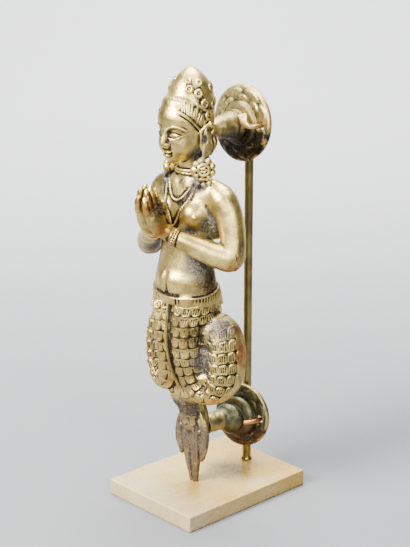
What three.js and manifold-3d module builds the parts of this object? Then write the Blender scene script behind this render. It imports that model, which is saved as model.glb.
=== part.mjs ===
// Naga kanya, a cast brass door handle shown on a rod and a clear resin plate.
// Millimetres, +Z up. The figure faces -Y. The origin is under the middle of the plate.

import * as THREE from 'three';
import { mergeVertices } from 'three/addons/utils/BufferGeometryUtils.js';
import Module from 'manifold-3d';

const wasm = await Module();
wasm.setup();

// Driving dimensions

const CONTACT_GAP = 0.3;

const PLATE_WIDTH = 75;
const PLATE_DEPTH = 100;
const PLATE_THICK = 10;
const PLATE_EDGE = 0.6;

const ROD_RADIUS = 2.7;
const ROD_Y = 35;
const ROD_SOCKET_DEPTH = 6;
const ROD_TOP = 244;
const ROD_FOOT_RADIUS = 3.5;
const ROD_FOOT_HEIGHT = 1.4;

const CROWN_BASE = 255;
const CROWN_TOP = 276.3;
const CROWN_Y = -13.6;
const RINGLET_RADIUS = 2.6;
// Garlands of ring curls: first angle from +X and its turn, first height and its fall
const RINGLET_ROWS = [
  { count: 4, angle: -46, turn: 16.5, z: 268, fall: 6.2 },
  { count: 3, angle: -50, turn: 42, z: 272, fall: 5 },
];

const BELT_Z = 137.6;
const BELT_HEIGHT = 5;
const BELT_TILT = 3;
const BELT_RIBS = 10;

const EYE_Z = 238.3;
const NOSE_BASE_Z = 231.2;
const MOUTH_Z = 227.6;

const SCALE_HEIGHT = 1.3;
const COLUMN_ROWS = 7;
const COLUMN_SCALES = 8;
const COIL_ROWS = 6;
const COIL_SCALES = 6;

const TAIL_TIP_Z = PLATE_THICK + 0.6;

// Rosettes: middle of the disc's back, disc radius, how the disc leans sideways and up,
// and the stalk's place, steps given as depth and radius
const UPPER_ROSETTE = {
  centre: [0.5, 30, 236.1],
  radius: 23.5,
  yaw: 1,
  pitch: 5.5,
  stalkZ: 236.4,
  stalk: [[-3.2, 4.6], [4, 4.8], [9, 6.9], [16.4, 8.4], [18, 8.4], [19.4, 7.6], [21.8, 9.2], [23, 8.4]],
  collar: [[24, 12.4], [26.4, 14]],
};
const LOWER_ROSETTE = {
  centre: [2.3, 30, 44.2],
  radius: 20.6,
  yaw: 8,
  pitch: 5,
  stalkZ: 45.4,
  stalk: [[-3, 6.2], [8, 6.4], [12.4, 7.4], [14, 8.8], [16.8, 9.9], [19.2, 8.8], [20.2, 8.6]],
  collar: [[21.2, 11.4], [24, 12.9], [26, 12.4]],
};
const ROSETTE_PETALS = 8;
const PETAL_RELIEF = 1.1;
const LEAN_START = 6;
const SIDE_HOLE = { radius: 3, out: 0.72, up: 1 };

// Wires through the discs: X from the hole, Y, Z from the hole, half width, half depth.
// The upper one is hammered flat at its end.
const HOOK_RADIUS = 1.35;
const UPPER_HOOK_REACH = [
  [0.2, 24, 0.4, HOOK_RADIUS, HOOK_RADIUS],
  [-1.4, 19.4, 0.6, HOOK_RADIUS, HOOK_RADIUS],
  [-4, 17, 3.6, 1.9, 1.2],
  [-6, 16.6, 9, 3.2, 0.9],
];
const LOWER_PIN_REACH = [
  [0.2, 24, 0, HOOK_RADIUS, HOOK_RADIUS],
  [-1.2, 20.4, 0, HOOK_RADIUS, HOOK_RADIUS],
  [-3, 17.4, 0, HOOK_RADIUS, HOOK_RADIUS],
];

// Sections from hip to neck: height, centre Y, half width, half depth
const TORSO = [
  [112, -15, 14, 10],
  [121, -16.6, 17.4, 14.6],
  [128, -17.2, 20.4, 16],
  [134, -17.3, 22.6, 16.4],
  [141, -17.8, 22.2, 16.2],
  [147, -18.3, 21.3, 15.8],
  [156, -17.9, 19.2, 14.8],
  [165, -17.2, 18, 13.8],
  [176, -16.2, 18.8, 13],
  [186, -15.5, 20.8, 12.8],
  [196, -14.4, 23, 12.2],
  [203, -13.6, 22.6, 11],
  [208, -13.2, 18.4, 9.4],
  [212, -13.6, 11.4, 8.2],
  [218, -15, 7.6, 7.4],
  [227, -16.5, 7.2, 7.4],
];

// Sections of the head: height, centre Y, half width, half depth to the face, half depth to the nape
const HEAD = [
  [220.6, -25.6, 3.4, 4, 4],
  [222.6, -23.6, 6.4, 7.4, 8],
  [226, -20.8, 9.8, 12, 12],
  [231, -18.6, 12.4, 15, 14.6],
  [237, -17.6, 14, 16.2, 16.2],
  [243, -17.2, 14.8, 17.2, 17.4],
  [249, -16.6, 14.8, 17.4, 17.4],
  [255, -15.2, 14, 16, 14.8],
  [260, -14.2, 11, 12, 12],
];

// Upper arm and forearm of the figure's left: X, Y, Z, radius
const UPPER_ARM = [
  [17.2, -12.2, 204.8, 6.4],
  [25, -11.7, 200, 8.8],
  [30.8, -11.2, 190.4, 8.4],
  [34.4, -12, 178, 7.9],
  [36.4, -14.2, 168.4, 7.8],
  [35.4, -17, 165.4, 6],
];
const FOREARM = [
  [36.4, -12.4, 168, 6.6],
  [35, -16.4, 167, 7.8],
  [27.6, -23, 170, 7.3],
  [18, -30.2, 174.8, 6.2],
  [9, -36.4, 179, 4.9],
  [6.6, -39.2, 182.4, 4.7],
];
const RIGHT_ELBOW_DROP = 5.4;

// Finger roots and tips of the figure's left hand, from little finger to first finger
const FINGERS = [
  { root: [4.6, -49.6, 189.6], tip: [2.9, -53.8, 204.4] },
  { root: [4.5, -47.4, 192.8], tip: [2.6, -51.6, 208.8] },
  { root: [4.4, -44.6, 194.8], tip: [2.5, -48.4, 210.6] },
  { root: [4.5, -41.6, 195.4], tip: [2.8, -44.6, 208.6] },
];
const THUMB = { root: [5.8, -37.4, 185.6], tip: [4.2, -39.8, 199.6] };
const FINGER_RADIUS = 1.85;

// One tail's front column: X, Y, Z, half width, half depth
const COLUMN = [
  [9.8, -17, 137, 12, 16.2],
  [9, -17.6, 128, 11.2, 16.8],
  [8.2, -18, 118, 10.8, 16.6],
  [8, -18.4, 107, 11.4, 15.6],
  [7, -17.4, 96, 11, 13.6],
  [5.6, -15.2, 85, 9.4, 11],
  [3.8, -13, 75, 6.6, 8.4],
];

// The tail's coil, out from under the column, round a hollow and up: X, Y, Z, half width, half depth
const COIL = [
  [7, -16, 98, 8.4, 10.6],
  [8.4, -15.6, 88, 9.2, 12],
  [12, -14.6, 81.4, 9.2, 12.6],
  [17.4, -13, 79, 9.2, 12.8],
  [23, -11.6, 82, 9.2, 12.8],
  [26.4, -10.8, 90, 9.2, 12.8],
  [27, -10.5, 100, 9.2, 12.6],
  [26.2, -10.2, 110, 8.8, 12],
  [24.2, -10, 118, 7, 9.6],
  [21, -10, 123.4, 3.4, 5],
];

// Fin blades: path points with half width and half thickness, for the figure's left
const OUTER_FIN = [
  [3.4, -12, 60, 2.6, 2.6],
  [7.6, -12.4, 53, 4.4, 3],
  [10.2, -13, 44, 4.6, 2.8],
  [10.4, -13.6, 35, 3.6, 2.4],
  [9.2, -14, 27.4, 1.4, 1.4],
];
const INNER_FIN = [
  [2, -12, 60, 2.8, 3],
  [3.2, -12.6, 50, 4.2, 3.4],
  [3.6, -12.8, 38, 4.4, 3.2],
  [3, -12.4, 26, 3.6, 3],
  [2, -11.8, 16, 2.8, 2.6],
  [1.7, -11.6, TAIL_TIP_Z, 2.2, 2],
];

// General shape helpers

const vector = (p) => new THREE.Vector3(p[0], p[1], p[2]);

function catmull(a, b, c, d, f) {
  const lead = -a + 3 * b - 3 * c + d;
  const bend = 2 * a - 5 * b + 4 * c - d;
  return b + 0.5 * f * (c - a + f * (bend + f * lead));
}

// A row of a station table, blended smoothly at t from 0 to 1
function station(table, t) {
  const last = table.length - 1;
  const place = t * last;
  const first = Math.min(Math.floor(place), last - 1);
  const row = (k) => table[Math.min(Math.max(k, 0), last)];
  const parts = [row(first - 1), row(first), row(first + 1), row(first + 2)];
  return table[0].map((_, c) => catmull(parts[0][c], parts[1][c], parts[2][c], parts[3][c], place - first));
}

// A closed body over rings of equal size, each ring running the same way round
function loft(rings) {
  const sides = rings[0].length;
  const positions = [];
  for (const ring of rings) {
    for (const p of ring) positions.push(p.x, p.y, p.z);
  }
  const index = [];
  for (let i = 0; i + 1 < rings.length; i += 1) {
    for (let j = 0; j < sides; j += 1) {
      const a = i * sides + j;
      const b = i * sides + ((j + 1) % sides);
      index.push(a, b, b + sides, a, b + sides, a + sides);
    }
  }
  for (const [end, outward] of [[0, false], [rings.length - 1, true]]) {
    const centre = new THREE.Vector3();
    for (const p of rings[end]) centre.add(p);
    centre.divideScalar(sides);
    const hub = positions.length / 3;
    positions.push(centre.x, centre.y, centre.z);
    for (let j = 0; j < sides; j += 1) {
      const a = end * sides + j;
      const b = end * sides + ((j + 1) % sides);
      if (outward) index.push(a, b, hub);
      else index.push(b, a, hub);
    }
  }
  const geometry = new THREE.BufferGeometry();
  geometry.setAttribute('position', new THREE.Float32BufferAttribute(positions, 3));
  geometry.setIndex(index);
  return geometry;
}

// Only positions, with shared vertices
function welded(geometry) {
  const bare = geometry.clone();
  bare.deleteAttribute('normal');
  bare.deleteAttribute('uv');
  return mergeVertices(bare, 1e-4);
}

function solid(geometry) {
  const merged = welded(geometry);
  const made = new wasm.Manifold(new wasm.Mesh({
    numProp: 3,
    vertProperties: new Float32Array(merged.attributes.position.array),
    triVerts: new Uint32Array(merged.index.array),
  }));
  return made;
}

function join(solids) {
  return solids.reduce((whole, next) => whole.add(next));
}

function geometryOf(made) {
  const mesh = made.getMesh();
  const geometry = new THREE.BufferGeometry();
  const positions = new Float32Array(mesh.vertProperties);
  geometry.setAttribute('position', new THREE.BufferAttribute(positions, 3));
  geometry.setIndex(new THREE.BufferAttribute(new Uint32Array(mesh.triVerts), 1));
  return geometry;
}

// A level ring at a height, with its own depth to the front and to the back
function levelRing(z, y, halfWidth, front, back, sides) {
  const ring = [];
  for (let j = 0; j < sides; j += 1) {
    const angle = (j / sides) * Math.PI * 2;
    const depth = Math.sin(angle) < 0 ? front : back;
    ring.push(new THREE.Vector3(halfWidth * Math.cos(angle), y + depth * Math.sin(angle), z));
  }
  return ring;
}

// Rings round a path; relief(t, angle) gives how far a point stands out and how far it slides along
function sweepRings(table, steps, sides, relief = null) {
  const rings = [];
  const ahead = 0.01;
  for (let i = 0; i <= steps; i += 1) {
    const t = i / steps;
    const here = station(table, t);
    const before = vector(station(table, Math.max(t - ahead, 0)));
    const after = vector(station(table, Math.min(t + ahead, 1)));
    const along = after.sub(before).normalize();
    const front = new THREE.Vector3(0, -1, 0);
    front.addScaledVector(along, -front.dot(along)).normalize();
    const side = new THREE.Vector3().crossVectors(front, along);
    const halfWidth = here[3];
    const halfDepth = here.length > 4 ? here[4] : here[3];
    const ring = [];
    for (let j = 0; j < sides; j += 1) {
      const angle = (j / sides) * Math.PI * 2;
      const { out, slide } = relief ? relief(i, j) : { out: 0, slide: 0 };
      const p = vector(here);
      p.addScaledVector(side, (halfWidth + out) * Math.cos(angle));
      p.addScaledVector(front, (halfDepth + out) * Math.sin(angle));
      p.addScaledVector(along, slide);
      ring.push(p);
    }
    rings.push(ring);
  }
  return rings;
}

function sweep(table, steps, sides, relief = null) {
  return loft(sweepRings(table, steps, sides, relief));
}

function mirrored(geometry) {
  const flipped = welded(geometry);
  flipped.scale(-1, 1, 1);
  const order = Array.from(flipped.index.array);
  for (let i = 0; i < order.length; i += 3) {
    [order[i + 1], order[i + 2]] = [order[i + 2], order[i + 1]];
  }
  flipped.setIndex(order);
  return flipped;
}

function bothSides(geometry) {
  return [solid(geometry), solid(mirrored(geometry))];
}

// A ball with its own three half sizes, turned about Z
function ball(centre, half, across = 12, up = 8, turn = 0) {
  const geometry = new THREE.SphereGeometry(1, across, up);
  geometry.scale(half[0], half[1], half[2]);
  geometry.rotateZ(turn);
  geometry.translate(centre[0], centre[1], centre[2]);
  return geometry;
}

// Puts a shape that lies flat in XY, facing +Z, on a point so that it faces a direction
function facing(geometry, point, direction) {
  const turn = new THREE.Quaternion();
  turn.setFromUnitVectors(new THREE.Vector3(0, 0, 1), vector(direction).normalize());
  geometry.applyQuaternion(turn);
  geometry.translate(point[0], point[1], point[2]);
  return geometry;
}

// A round cord through points given as X, Y, Z
function cord(points, radius, steps, sides = 5) {
  return sweep(points.map((p) => [...p, radius]), steps, sides);
}

// Torso and head

function torso() {
  const steps = 12;
  const rings = [];
  for (let i = 0; i <= steps; i += 1) {
    const [z, y, halfWidth, halfDepth] = station(TORSO, i / steps);
    rings.push(levelRing(z, y, halfWidth, halfDepth, halfDepth, 14));
  }
  return loft(rings);
}

function headBlock() {
  const steps = 8;
  const rings = [];
  for (let i = 0; i <= steps; i += 1) {
    const [z, y, halfWidth, front, back] = station(HEAD, i / steps);
    rings.push(levelRing(z, y, halfWidth, front, back, 16));
  }
  return loft(rings);
}

function face() {
  const nose = [
    [0, -33.2, EYE_Z + 3, 1.3, 1.4],
    [0, -33.8, EYE_Z - 1.5, 1.5, 1.8],
    [0, -34.6, NOSE_BASE_Z + 2, 2.2, 2.2],
    [0, -33.4, NOSE_BASE_Z, 2.3, 1.4],
  ];
  const brow = cord([[1, -34, EYE_Z + 3.2], [5.6, -33, EYE_Z + 5], [10.4, -28.6, EYE_Z + 3]], 0.8, 2, 3);
  return [
    solid(sweep(nose, 3, 6)),
    solid(ball([0, -33.2, MOUTH_Z + 0.9], [3.4, 1.5, 0.9], 6, 4)),
    solid(ball([0, -32.8, MOUTH_Z - 1.1], [2.9, 1.5, 1], 6, 4)),
    solid(ball([0, -29.2, 223.2], [3.2, 2.4, 2.4], 6, 4)),
    ...bothSides(ball([5.8, -31.2, EYE_Z], [3.2, 1.4, 1.3], 6, 4, 0.3)),
    ...bothSides(brow),
  ];
}

// Hair drawn back from the brow to the ears, and a low knot on the nape
function hair() {
  const strands = 3;
  const parts = [];
  for (let k = 0; k < strands; k += 1) {
    const f = k / (strands - 1);
    const start = [1.4 + 10.4 * f, -31.6 + 12 * f * f, 253 - 4.4 * f];
    const end = [13 + 1.6 * f, -19.6 + 8.4 * f, 255.4 - 8.4 * f];
    const middle = start.map((v, c) => (v + end[c]) / 2);
    middle[0] += 1.5;
    middle[1] -= 1.8 * (1 - f);
    parts.push(...bothSides(cord([start, middle, end], 2.2, 2, 4)));
  }
  parts.push(solid(ball([0, -6.6, 230.4], [11, 8.4, 9], 8, 6)));
  return parts;
}

function ears() {
  const ear = [
    [14.4, -17.4, 239.6, 1.3, 1.2],
    [15.2, -14.8, 242.4, 1.4, 1.4],
    [15.6, -12.8, 238, 1.4, 1.6],
    [15.4, -14, 230, 1.3, 1.7],
    [15.4, -17.4, 219, 1.1, 1.5],
  ];
  return bothSides(sweep(ear, 5, 4));
}

// A flower facing +Z, over rings given as height and radius
function flower(rows, petals) {
  const sides = petals * 2;
  const rings = rows.map(([z, radius]) => {
    const ring = [];
    for (let j = 0; j < sides; j += 1) {
      const angle = (j / sides) * Math.PI * 2;
      const reach = j % 2 === 0 ? radius : radius * 0.84;
      ring.push(new THREE.Vector3(reach * Math.cos(angle), reach * Math.sin(angle), z));
    }
    return ring;
  });
  return loft(rings);
}

// The flower at each ear lobe, facing outward and forward, with three drops under it
function earrings() {
  const outward = [0.8, -0.6, 0.05];
  const centre = [16, -18.1, 216.5];
  const parts = [facing(flower([[-1.6, 6], [0.6, 6.6], [1.4, 3.4], [3, 1.8]], 7), centre, outward)];
  for (const [across, down] of [[-3.8, -5.4], [0.2, -8], [4.2, -5.4]]) {
    const drop = new THREE.OctahedronGeometry(3.2);
    drop.translate(centre[0] + 0.6 * across, centre[1] + 0.8 * across, centre[2] + down);
    parts.push(drop);
  }
  return parts.flatMap((part) => bothSides(part));
}

// Crown

// Centre Y, half width and half depth of the crown at a height
function crownSection(z) {
  const f = Math.min(Math.max((z - CROWN_BASE) / (CROWN_TOP - CROWN_BASE), 0), 1);
  const swell = Math.pow(1 - Math.pow(f, 2.2), 0.72);
  return [CROWN_Y - 1.6 * (1 - f), 14.5 * swell, 15.3 * swell];
}

function crown() {
  const levels = [0, 0.24, 0.46, 0.66, 0.82, 0.94];
  const rings = levels.map((f) => {
    const z = CROWN_BASE + (CROWN_TOP - CROWN_BASE) * f;
    const [y, halfWidth, halfDepth] = crownSection(z);
    return levelRing(z, y, halfWidth, halfDepth, halfDepth, 16);
  });
  rings.push(levelRing(CROWN_TOP, CROWN_Y, 0.8, 0.8, 0.8, 16));
  return loft(rings);
}

// Ring curls in falling garlands on the sides and the back of the crown
function ringlets() {
  const profile = [[0, -1.8], [1, 0.35], [0, -0.5]];
  const points = profile.map(([share, rise]) => new THREE.Vector2(share * RINGLET_RADIUS, rise));
  const parts = [];
  for (const { count, angle, turn, z, fall } of RINGLET_ROWS) {
    for (let k = 0; k < count; k += 1) {
      const round = ((angle + turn * k) * Math.PI) / 180;
      const height = z - fall * k;
      const [y, halfWidth, halfDepth] = crownSection(height);
      const rise = Math.max(0, (height - CROWN_BASE) / (CROWN_TOP - CROWN_BASE));
      const point = [halfWidth * Math.cos(round), y + halfDepth * Math.sin(round), height];
      const curl = new THREE.LatheGeometry(points, 5);
      curl.rotateX(Math.PI / 2);
      parts.push(...bothSides(facing(curl, point, [Math.cos(round), Math.sin(round), rise * rise])));
    }
  }
  return parts;
}

// Arms and hands

// The right elbow hangs lower than the left: stations are lowered by how far out they are
function lowered(table, drop) {
  const reach = Math.max(...table.map((row) => row[0]));
  return table.map(([x, y, z, r]) => [x, y, z - drop * Math.pow(x / reach, 3), r]);
}

function arms() {
  const parts = [];
  for (const table of [UPPER_ARM, FOREARM]) {
    parts.push(solid(sweep(table, 6, 8)));
    parts.push(solid(mirrored(sweep(lowered(table, RIGHT_ELBOW_DROP), 6, 8))));
  }
  return parts;
}

function hands() {
  const palm = [
    [6.6, -38.8, 180.6, 3.2, 4.6],
    [5.6, -43, 186, 3, 7],
    [4.8, -45.8, 191.6, 2.7, 7.4],
    [4.4, -47, 196.4, 2.2, 6.2],
  ];
  const parts = [...bothSides(sweep(palm, 3, 8))];
  for (const { root, tip } of [...FINGERS, THUMB]) {
    const middle = root.map((v, c) => (v + tip[c]) / 2);
    middle[1] -= 0.8;
    const finger = [
      [...root, FINGER_RADIUS],
      [...middle, FINGER_RADIUS],
      [...tip, FINGER_RADIUS * 0.7],
    ];
    parts.push(...bothSides(sweep(finger, 2, 4)));
  }
  return parts;
}

function breasts() {
  return [
    ...bothSides(ball([10.6, -21.6, 190.2], [8.6, 8.4, 8.8], 10, 6)),
    ...bothSides(ball([11.4, -29.8, 189], [1.1, 0.9, 1.1], 4, 3)),
  ];
}

// Jewellery

function jewellery() {
  const shortChain = [[8.4, -20, 207], [6.6, -25.4, 203], [2.6, -27.6, 199], [0, -28, 198]];
  const longChain = [[11, -19, 206], [9, -25.6, 201], [4.6, -28.6, 190], [1.2, -29.8, 183], [0, -30, 182]];
  const parts = [];
  for (const [line, steps] of [[shortChain, 3], [longChain, 5]]) {
    parts.push(...bothSides(cord(line, 1, steps, 4)));
  }
  parts.push(solid(ball([0, -30.2, 181], [2.2, 1.6, 2.6], 6, 4)));
  const bracelet = new THREE.CylinderGeometry(6, 6, 2.2, 8);
  bracelet.rotateX(Math.PI / 2);
  parts.push(...bothSides(facing(bracelet, [9.6, -36, 178.7], [-0.8, -0.5, 0.33])));
  return parts;
}

// Where along the torso table a height lies, from 0 to 1
function torsoPlace(z) {
  let low = 0;
  let high = 1;
  for (let n = 0; n < 24; n += 1) {
    const middle = (low + high) / 2;
    if (station(TORSO, middle)[0] < z) low = middle;
    else high = middle;
  }
  return (low + high) / 2;
}

// A ribbed band that dips at the front and rises at the back
function belt() {
  const sides = BELT_RIBS * 2;
  const rings = [];
  for (const [rise, out] of [[0, -1.5], [0.5, 1.3], [BELT_HEIGHT - 0.5, 1.3], [BELT_HEIGHT, -1.5]]) {
    const ring = [];
    for (let j = 0; j < sides; j += 1) {
      const angle = (j / sides) * Math.PI * 2;
      const z = BELT_Z + rise + BELT_TILT * Math.sin(angle);
      const [, y, halfWidth, halfDepth] = station(TORSO, torsoPlace(z));
      const stand = j % 2 === 0 || out < 0 ? out : out - 0.5;
      const x = (halfWidth + stand) * Math.cos(angle);
      ring.push(new THREE.Vector3(x, y + (halfDepth + stand) * Math.sin(angle), z));
    }
    rings.push(ring);
  }
  return solid(loft(rings));
}

// Tails

// Rows of tabs like roof tiles. Even rings are the free edges that stand out, odd rings are
// tucked under them. Every second point of a ring is the notch between two tabs, and the rows
// are set off against each other.
function scaleRelief(rows) {
  return (i, j) => {
    const row = Math.floor(i / 2);
    const notch = (row + j) % 2 === 0;
    if (row >= rows) return { out: 0, slide: 0 };
    if (i % 2 === 0) return notch ? { out: 0.1, slide: -2 } : { out: SCALE_HEIGHT, slide: 0.8 };
    return notch ? { out: -0.1, slide: -2.4 } : { out: 0, slide: -1.6 };
  };
}

function columns() {
  return bothSides(sweep(COLUMN, COLUMN_ROWS * 2, COLUMN_SCALES * 2, scaleRelief(COLUMN_ROWS)));
}

// The coils, each with the floor of its hollow between coil and column
function coils() {
  return [
    ...bothSides(sweep(COIL, COIL_ROWS * 2, COIL_SCALES * 2, scaleRelief(COIL_ROWS))),
    ...bothSides(ball([16.8, -12.2, 97], [6.6, 11.4, 19], 8, 6)),
  ];
}

function seam() {
  const ridge = [
    [0, -29, 135, 1.6, 4.8], [0, -30.4, 122, 1.6, 5.4], [0, -30, 109, 1.6, 5.8], [0, -27, 96, 1.6, 6],
    [0, -22.4, 84, 1.6, 5.6], [0, -17, 73, 1.6, 4], [0, -14.6, 64, 1.6, 3],
  ];
  return solid(sweep(ridge, 6, 4));
}

// Ankle, collar and fins

function finEnd() {
  const ankle = [
    [-2, -12, 78, 15, 12],
    [-3, -12, 70, 15.4, 11.6],
    [-2.6, -12, 65, 11.4, 10],
    [-1.4, -12, 60, 9, 8],
    [-0.6, -12, 55, 8, 6.4],
    [0, -12.4, 49, 7, 5],
  ];
  const collar = [
    [0, -9.4, 61, 4.8, 4.6],
    [0, -7.4, 56, 5.8, 5.4],
    [0, -7, 46, 6.2, 5.8],
    [0, -8.6, 38, 4.6, 4],
  ];
  return [
    solid(sweep(ankle, 5, 8)),
    solid(sweep(collar, 3, 8)),
    ...bothSides(ball([5.8, -9.6, 43.4], [2.4, 2.4, 2.5], 6, 4)),
    ...bothSides(sweep(OUTER_FIN, 5, 6)),
    ...bothSides(sweep(INNER_FIN, 6, 6)),
  ];
}

function figure(sockets) {
  const whole = join([
    solid(torso()),
    solid(headBlock()),
    ...face(),
    ...hair(),
    ...ears(),
    ...earrings(),
    solid(crown()),
    ...ringlets(),
    ...arms(),
    ...hands(),
    ...breasts(),
    ...jewellery(),
    belt(),
    ...columns(),
    ...coils(),
    seam(),
    ...finEnd(),
  ]);
  return sockets.reduce((left, socket) => left.subtract(socket), whole);
}

// Rosettes

// Lotus seen from its stalk side: the stalk and its rings, a collar, petals and a rim. Depth and radius.
function rosetteProfile({ centre, radius, stalk, collar }) {
  const back = centre[1];
  return [
    [stalk[0][0], 0],
    ...stalk,
    ...collar,
    [back - 3, 0.72 * radius],
    [back - 2.4, 0.9 * radius],
    [back - 2.2, radius],
    [back, radius],
    [back, 0],
  ];
}

// The disc leans and shifts against the straight stalk, more and more toward its back
function rosetteGeometry(spec) {
  const points = rosetteProfile(spec).map(([depth, radius]) => new THREE.Vector2(radius, depth));
  const geometry = new THREE.LatheGeometry(points, ROSETTE_PETALS * 2);
  const place = geometry.attributes.position;
  const back = spec.centre[1];
  const sideways = Math.tan(THREE.MathUtils.degToRad(spec.yaw));
  const upward = Math.tan(THREE.MathUtils.degToRad(spec.pitch));
  for (let i = 0; i < place.count; i += 1) {
    const x = place.getX(i);
    const depth = place.getY(i);
    const z = place.getZ(i);
    const share = THREE.MathUtils.smoothstep(depth, LEAN_START, back - 8);
    const onPetals = depth > back - 3.1 && depth < back - 2.3 ? 1 : 0;
    const lobe = Math.cos(Math.atan2(z, x) * ROSETTE_PETALS) * PETAL_RELIEF * onPetals;
    place.setX(i, x + share * spec.centre[0]);
    place.setY(i, depth - lobe + share * (sideways * x + upward * z));
    place.setZ(i, z + spec.stalkZ + share * (spec.centre[2] - spec.stalkZ));
  }
  return geometry;
}

function sideHolePlace({ centre, radius }) {
  return [centre[0] + SIDE_HOLE.out * radius, centre[2] + SIDE_HOLE.up];
}

function rosette(spec) {
  const [x, z] = sideHolePlace(spec);
  const hole = new THREE.CylinderGeometry(SIDE_HOLE.radius, SIDE_HOLE.radius, 16, 8);
  hole.translate(x, spec.centre[1], z);
  return solid(rosetteGeometry(spec)).subtract(solid(hole));
}

// The part of a stalk that sits in the figure, with the contact gap round it
function stalkSocket({ stalk, stalkZ }) {
  const [start, radius] = stalk[0];
  const wide = radius + CONTACT_GAP + 0.1;
  const clearance = new THREE.CylinderGeometry(wide, wide, 60, ROSETTE_PETALS * 2);
  clearance.translate(0, start - CONTACT_GAP + 30, stalkZ);
  return solid(clearance);
}

// A bent wire that comes round the rod, through the disc's side hole and over its front
function hook({ centre, radius }, reach) {
  const [x, z] = sideHolePlace({ centre, radius });
  const behind = [
    [ROD_RADIUS + CONTACT_GAP + HOOK_RADIUS + 0.1, ROD_Y + 0.4, z],
    [x - 6, ROD_Y + 0.6, z],
    [x - 0.6, ROD_Y - 1.6, z],
    [x + 0.4, centre[1] - 1, z],
  ];
  const path = [
    ...behind.map((p) => [...p, HOOK_RADIUS, HOOK_RADIUS]),
    ...reach.map(([dx, y, dz, halfWidth, halfDepth]) => [x + dx, y, z + dz, halfWidth, halfDepth]),
  ];
  return solid(sweep(path, 10, 6));
}

// Mount

function rod() {
  const bottom = PLATE_THICK - ROD_SOCKET_DEPTH + CONTACT_GAP;
  const footTop = PLATE_THICK + CONTACT_GAP + ROD_FOOT_HEIGHT;
  const profile = [
    [0, bottom],
    [ROD_RADIUS, bottom],
    [ROD_RADIUS, PLATE_THICK + CONTACT_GAP],
    [ROD_FOOT_RADIUS, PLATE_THICK + CONTACT_GAP],
    [ROD_RADIUS, footTop],
    [ROD_RADIUS, ROD_TOP - 0.6],
    [ROD_RADIUS - 0.6, ROD_TOP],
    [0, ROD_TOP],
  ];
  const geometry = new THREE.LatheGeometry(profile.map(([r, z]) => new THREE.Vector2(r, z)), 12);
  geometry.rotateX(Math.PI / 2);
  geometry.translate(0, ROD_Y, 0);
  return solid(geometry);
}

function plate() {
  const outline = new THREE.Shape();
  const w = PLATE_WIDTH / 2 - PLATE_EDGE;
  const d = PLATE_DEPTH / 2 - PLATE_EDGE;
  outline.moveTo(-w, -d);
  outline.lineTo(w, -d);
  outline.lineTo(w, d);
  outline.lineTo(-w, d);
  outline.closePath();
  const slab = new THREE.ExtrudeGeometry(outline, {
    depth: PLATE_THICK - 2 * PLATE_EDGE,
    bevelThickness: PLATE_EDGE,
    bevelSize: PLATE_EDGE,
    bevelSegments: 1,
  });
  slab.translate(0, 0, PLATE_EDGE);
  const socketRadius = ROD_RADIUS + CONTACT_GAP;
  const socket = new THREE.CylinderGeometry(socketRadius, socketRadius, ROD_SOCKET_DEPTH * 2, 12);
  socket.rotateX(Math.PI / 2);
  socket.translate(0, ROD_Y, PLATE_THICK);
  return solid(slab).subtract(solid(socket));
}

// Materials

const metal = (color, roughness) => new THREE.MeshStandardMaterial({ color, roughness, metalness: 0.9 });
const BRASS = metal(0xb59a5c, 0.42);
const AGED_BRASS = metal(0x8f7a4c, 0.5);
const GREEN_BRONZE = metal(0x77735a, 0.58);
const ROD_BRASS = metal(0x8c7442, 0.35);
const HOOK_BRASS = metal(0xb08d52, 0.4);
const COPPER = metal(0xb06a4a, 0.4);
const RESIN = new THREE.MeshStandardMaterial({
  color: 0xdcc99f,
  roughness: 0.28,
  metalness: 0,
  transparent: true,
  opacity: 0.85,
});

function named(name, made, material) {
  const mesh = new THREE.Mesh(geometryOf(made), material);
  mesh.name = name;
  return mesh;
}

const nagaKanya = new THREE.Group();
nagaKanya.add(
  named('figure', figure([stalkSocket(UPPER_ROSETTE), stalkSocket(LOWER_ROSETTE)]), BRASS),
  named('upper_rosette', rosette(UPPER_ROSETTE), AGED_BRASS),
  named('lower_rosette', rosette(LOWER_ROSETTE), GREEN_BRONZE),
  named('rod', rod(), ROD_BRASS),
  named('upper_hook', hook(UPPER_ROSETTE, UPPER_HOOK_REACH), HOOK_BRASS),
  named('lower_pin', hook(LOWER_ROSETTE, LOWER_PIN_REACH), COPPER),
  named('base_plate', plate(), RESIN),
);

export default nagaKanya;
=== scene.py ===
# Naga kanya, a cast brass door handle shown on a rod and a clear resin plate.
# Shapes are worked out in millimetres, +Z up, figure facing -Y, and put into Blender in metres.

import math

import bmesh
import bpy
import numpy as np
import openvdb
from mathutils import Matrix, Vector


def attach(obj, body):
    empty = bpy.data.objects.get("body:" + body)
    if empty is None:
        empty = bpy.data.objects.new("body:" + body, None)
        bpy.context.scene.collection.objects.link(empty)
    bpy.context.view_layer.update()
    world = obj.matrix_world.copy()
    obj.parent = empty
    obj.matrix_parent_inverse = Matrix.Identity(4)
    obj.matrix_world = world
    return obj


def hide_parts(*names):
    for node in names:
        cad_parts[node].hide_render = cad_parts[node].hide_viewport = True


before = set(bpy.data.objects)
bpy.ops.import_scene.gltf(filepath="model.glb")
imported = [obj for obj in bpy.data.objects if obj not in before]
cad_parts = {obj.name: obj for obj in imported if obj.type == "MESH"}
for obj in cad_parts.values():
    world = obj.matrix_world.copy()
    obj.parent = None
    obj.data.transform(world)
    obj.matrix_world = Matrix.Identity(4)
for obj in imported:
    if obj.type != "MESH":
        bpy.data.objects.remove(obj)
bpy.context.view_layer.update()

MM = 0.001
VOXEL = 0.4
MOST_TRIANGLES = 194000
FAR = 8.0

# Sizes shared with the solids, in millimetres

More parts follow.
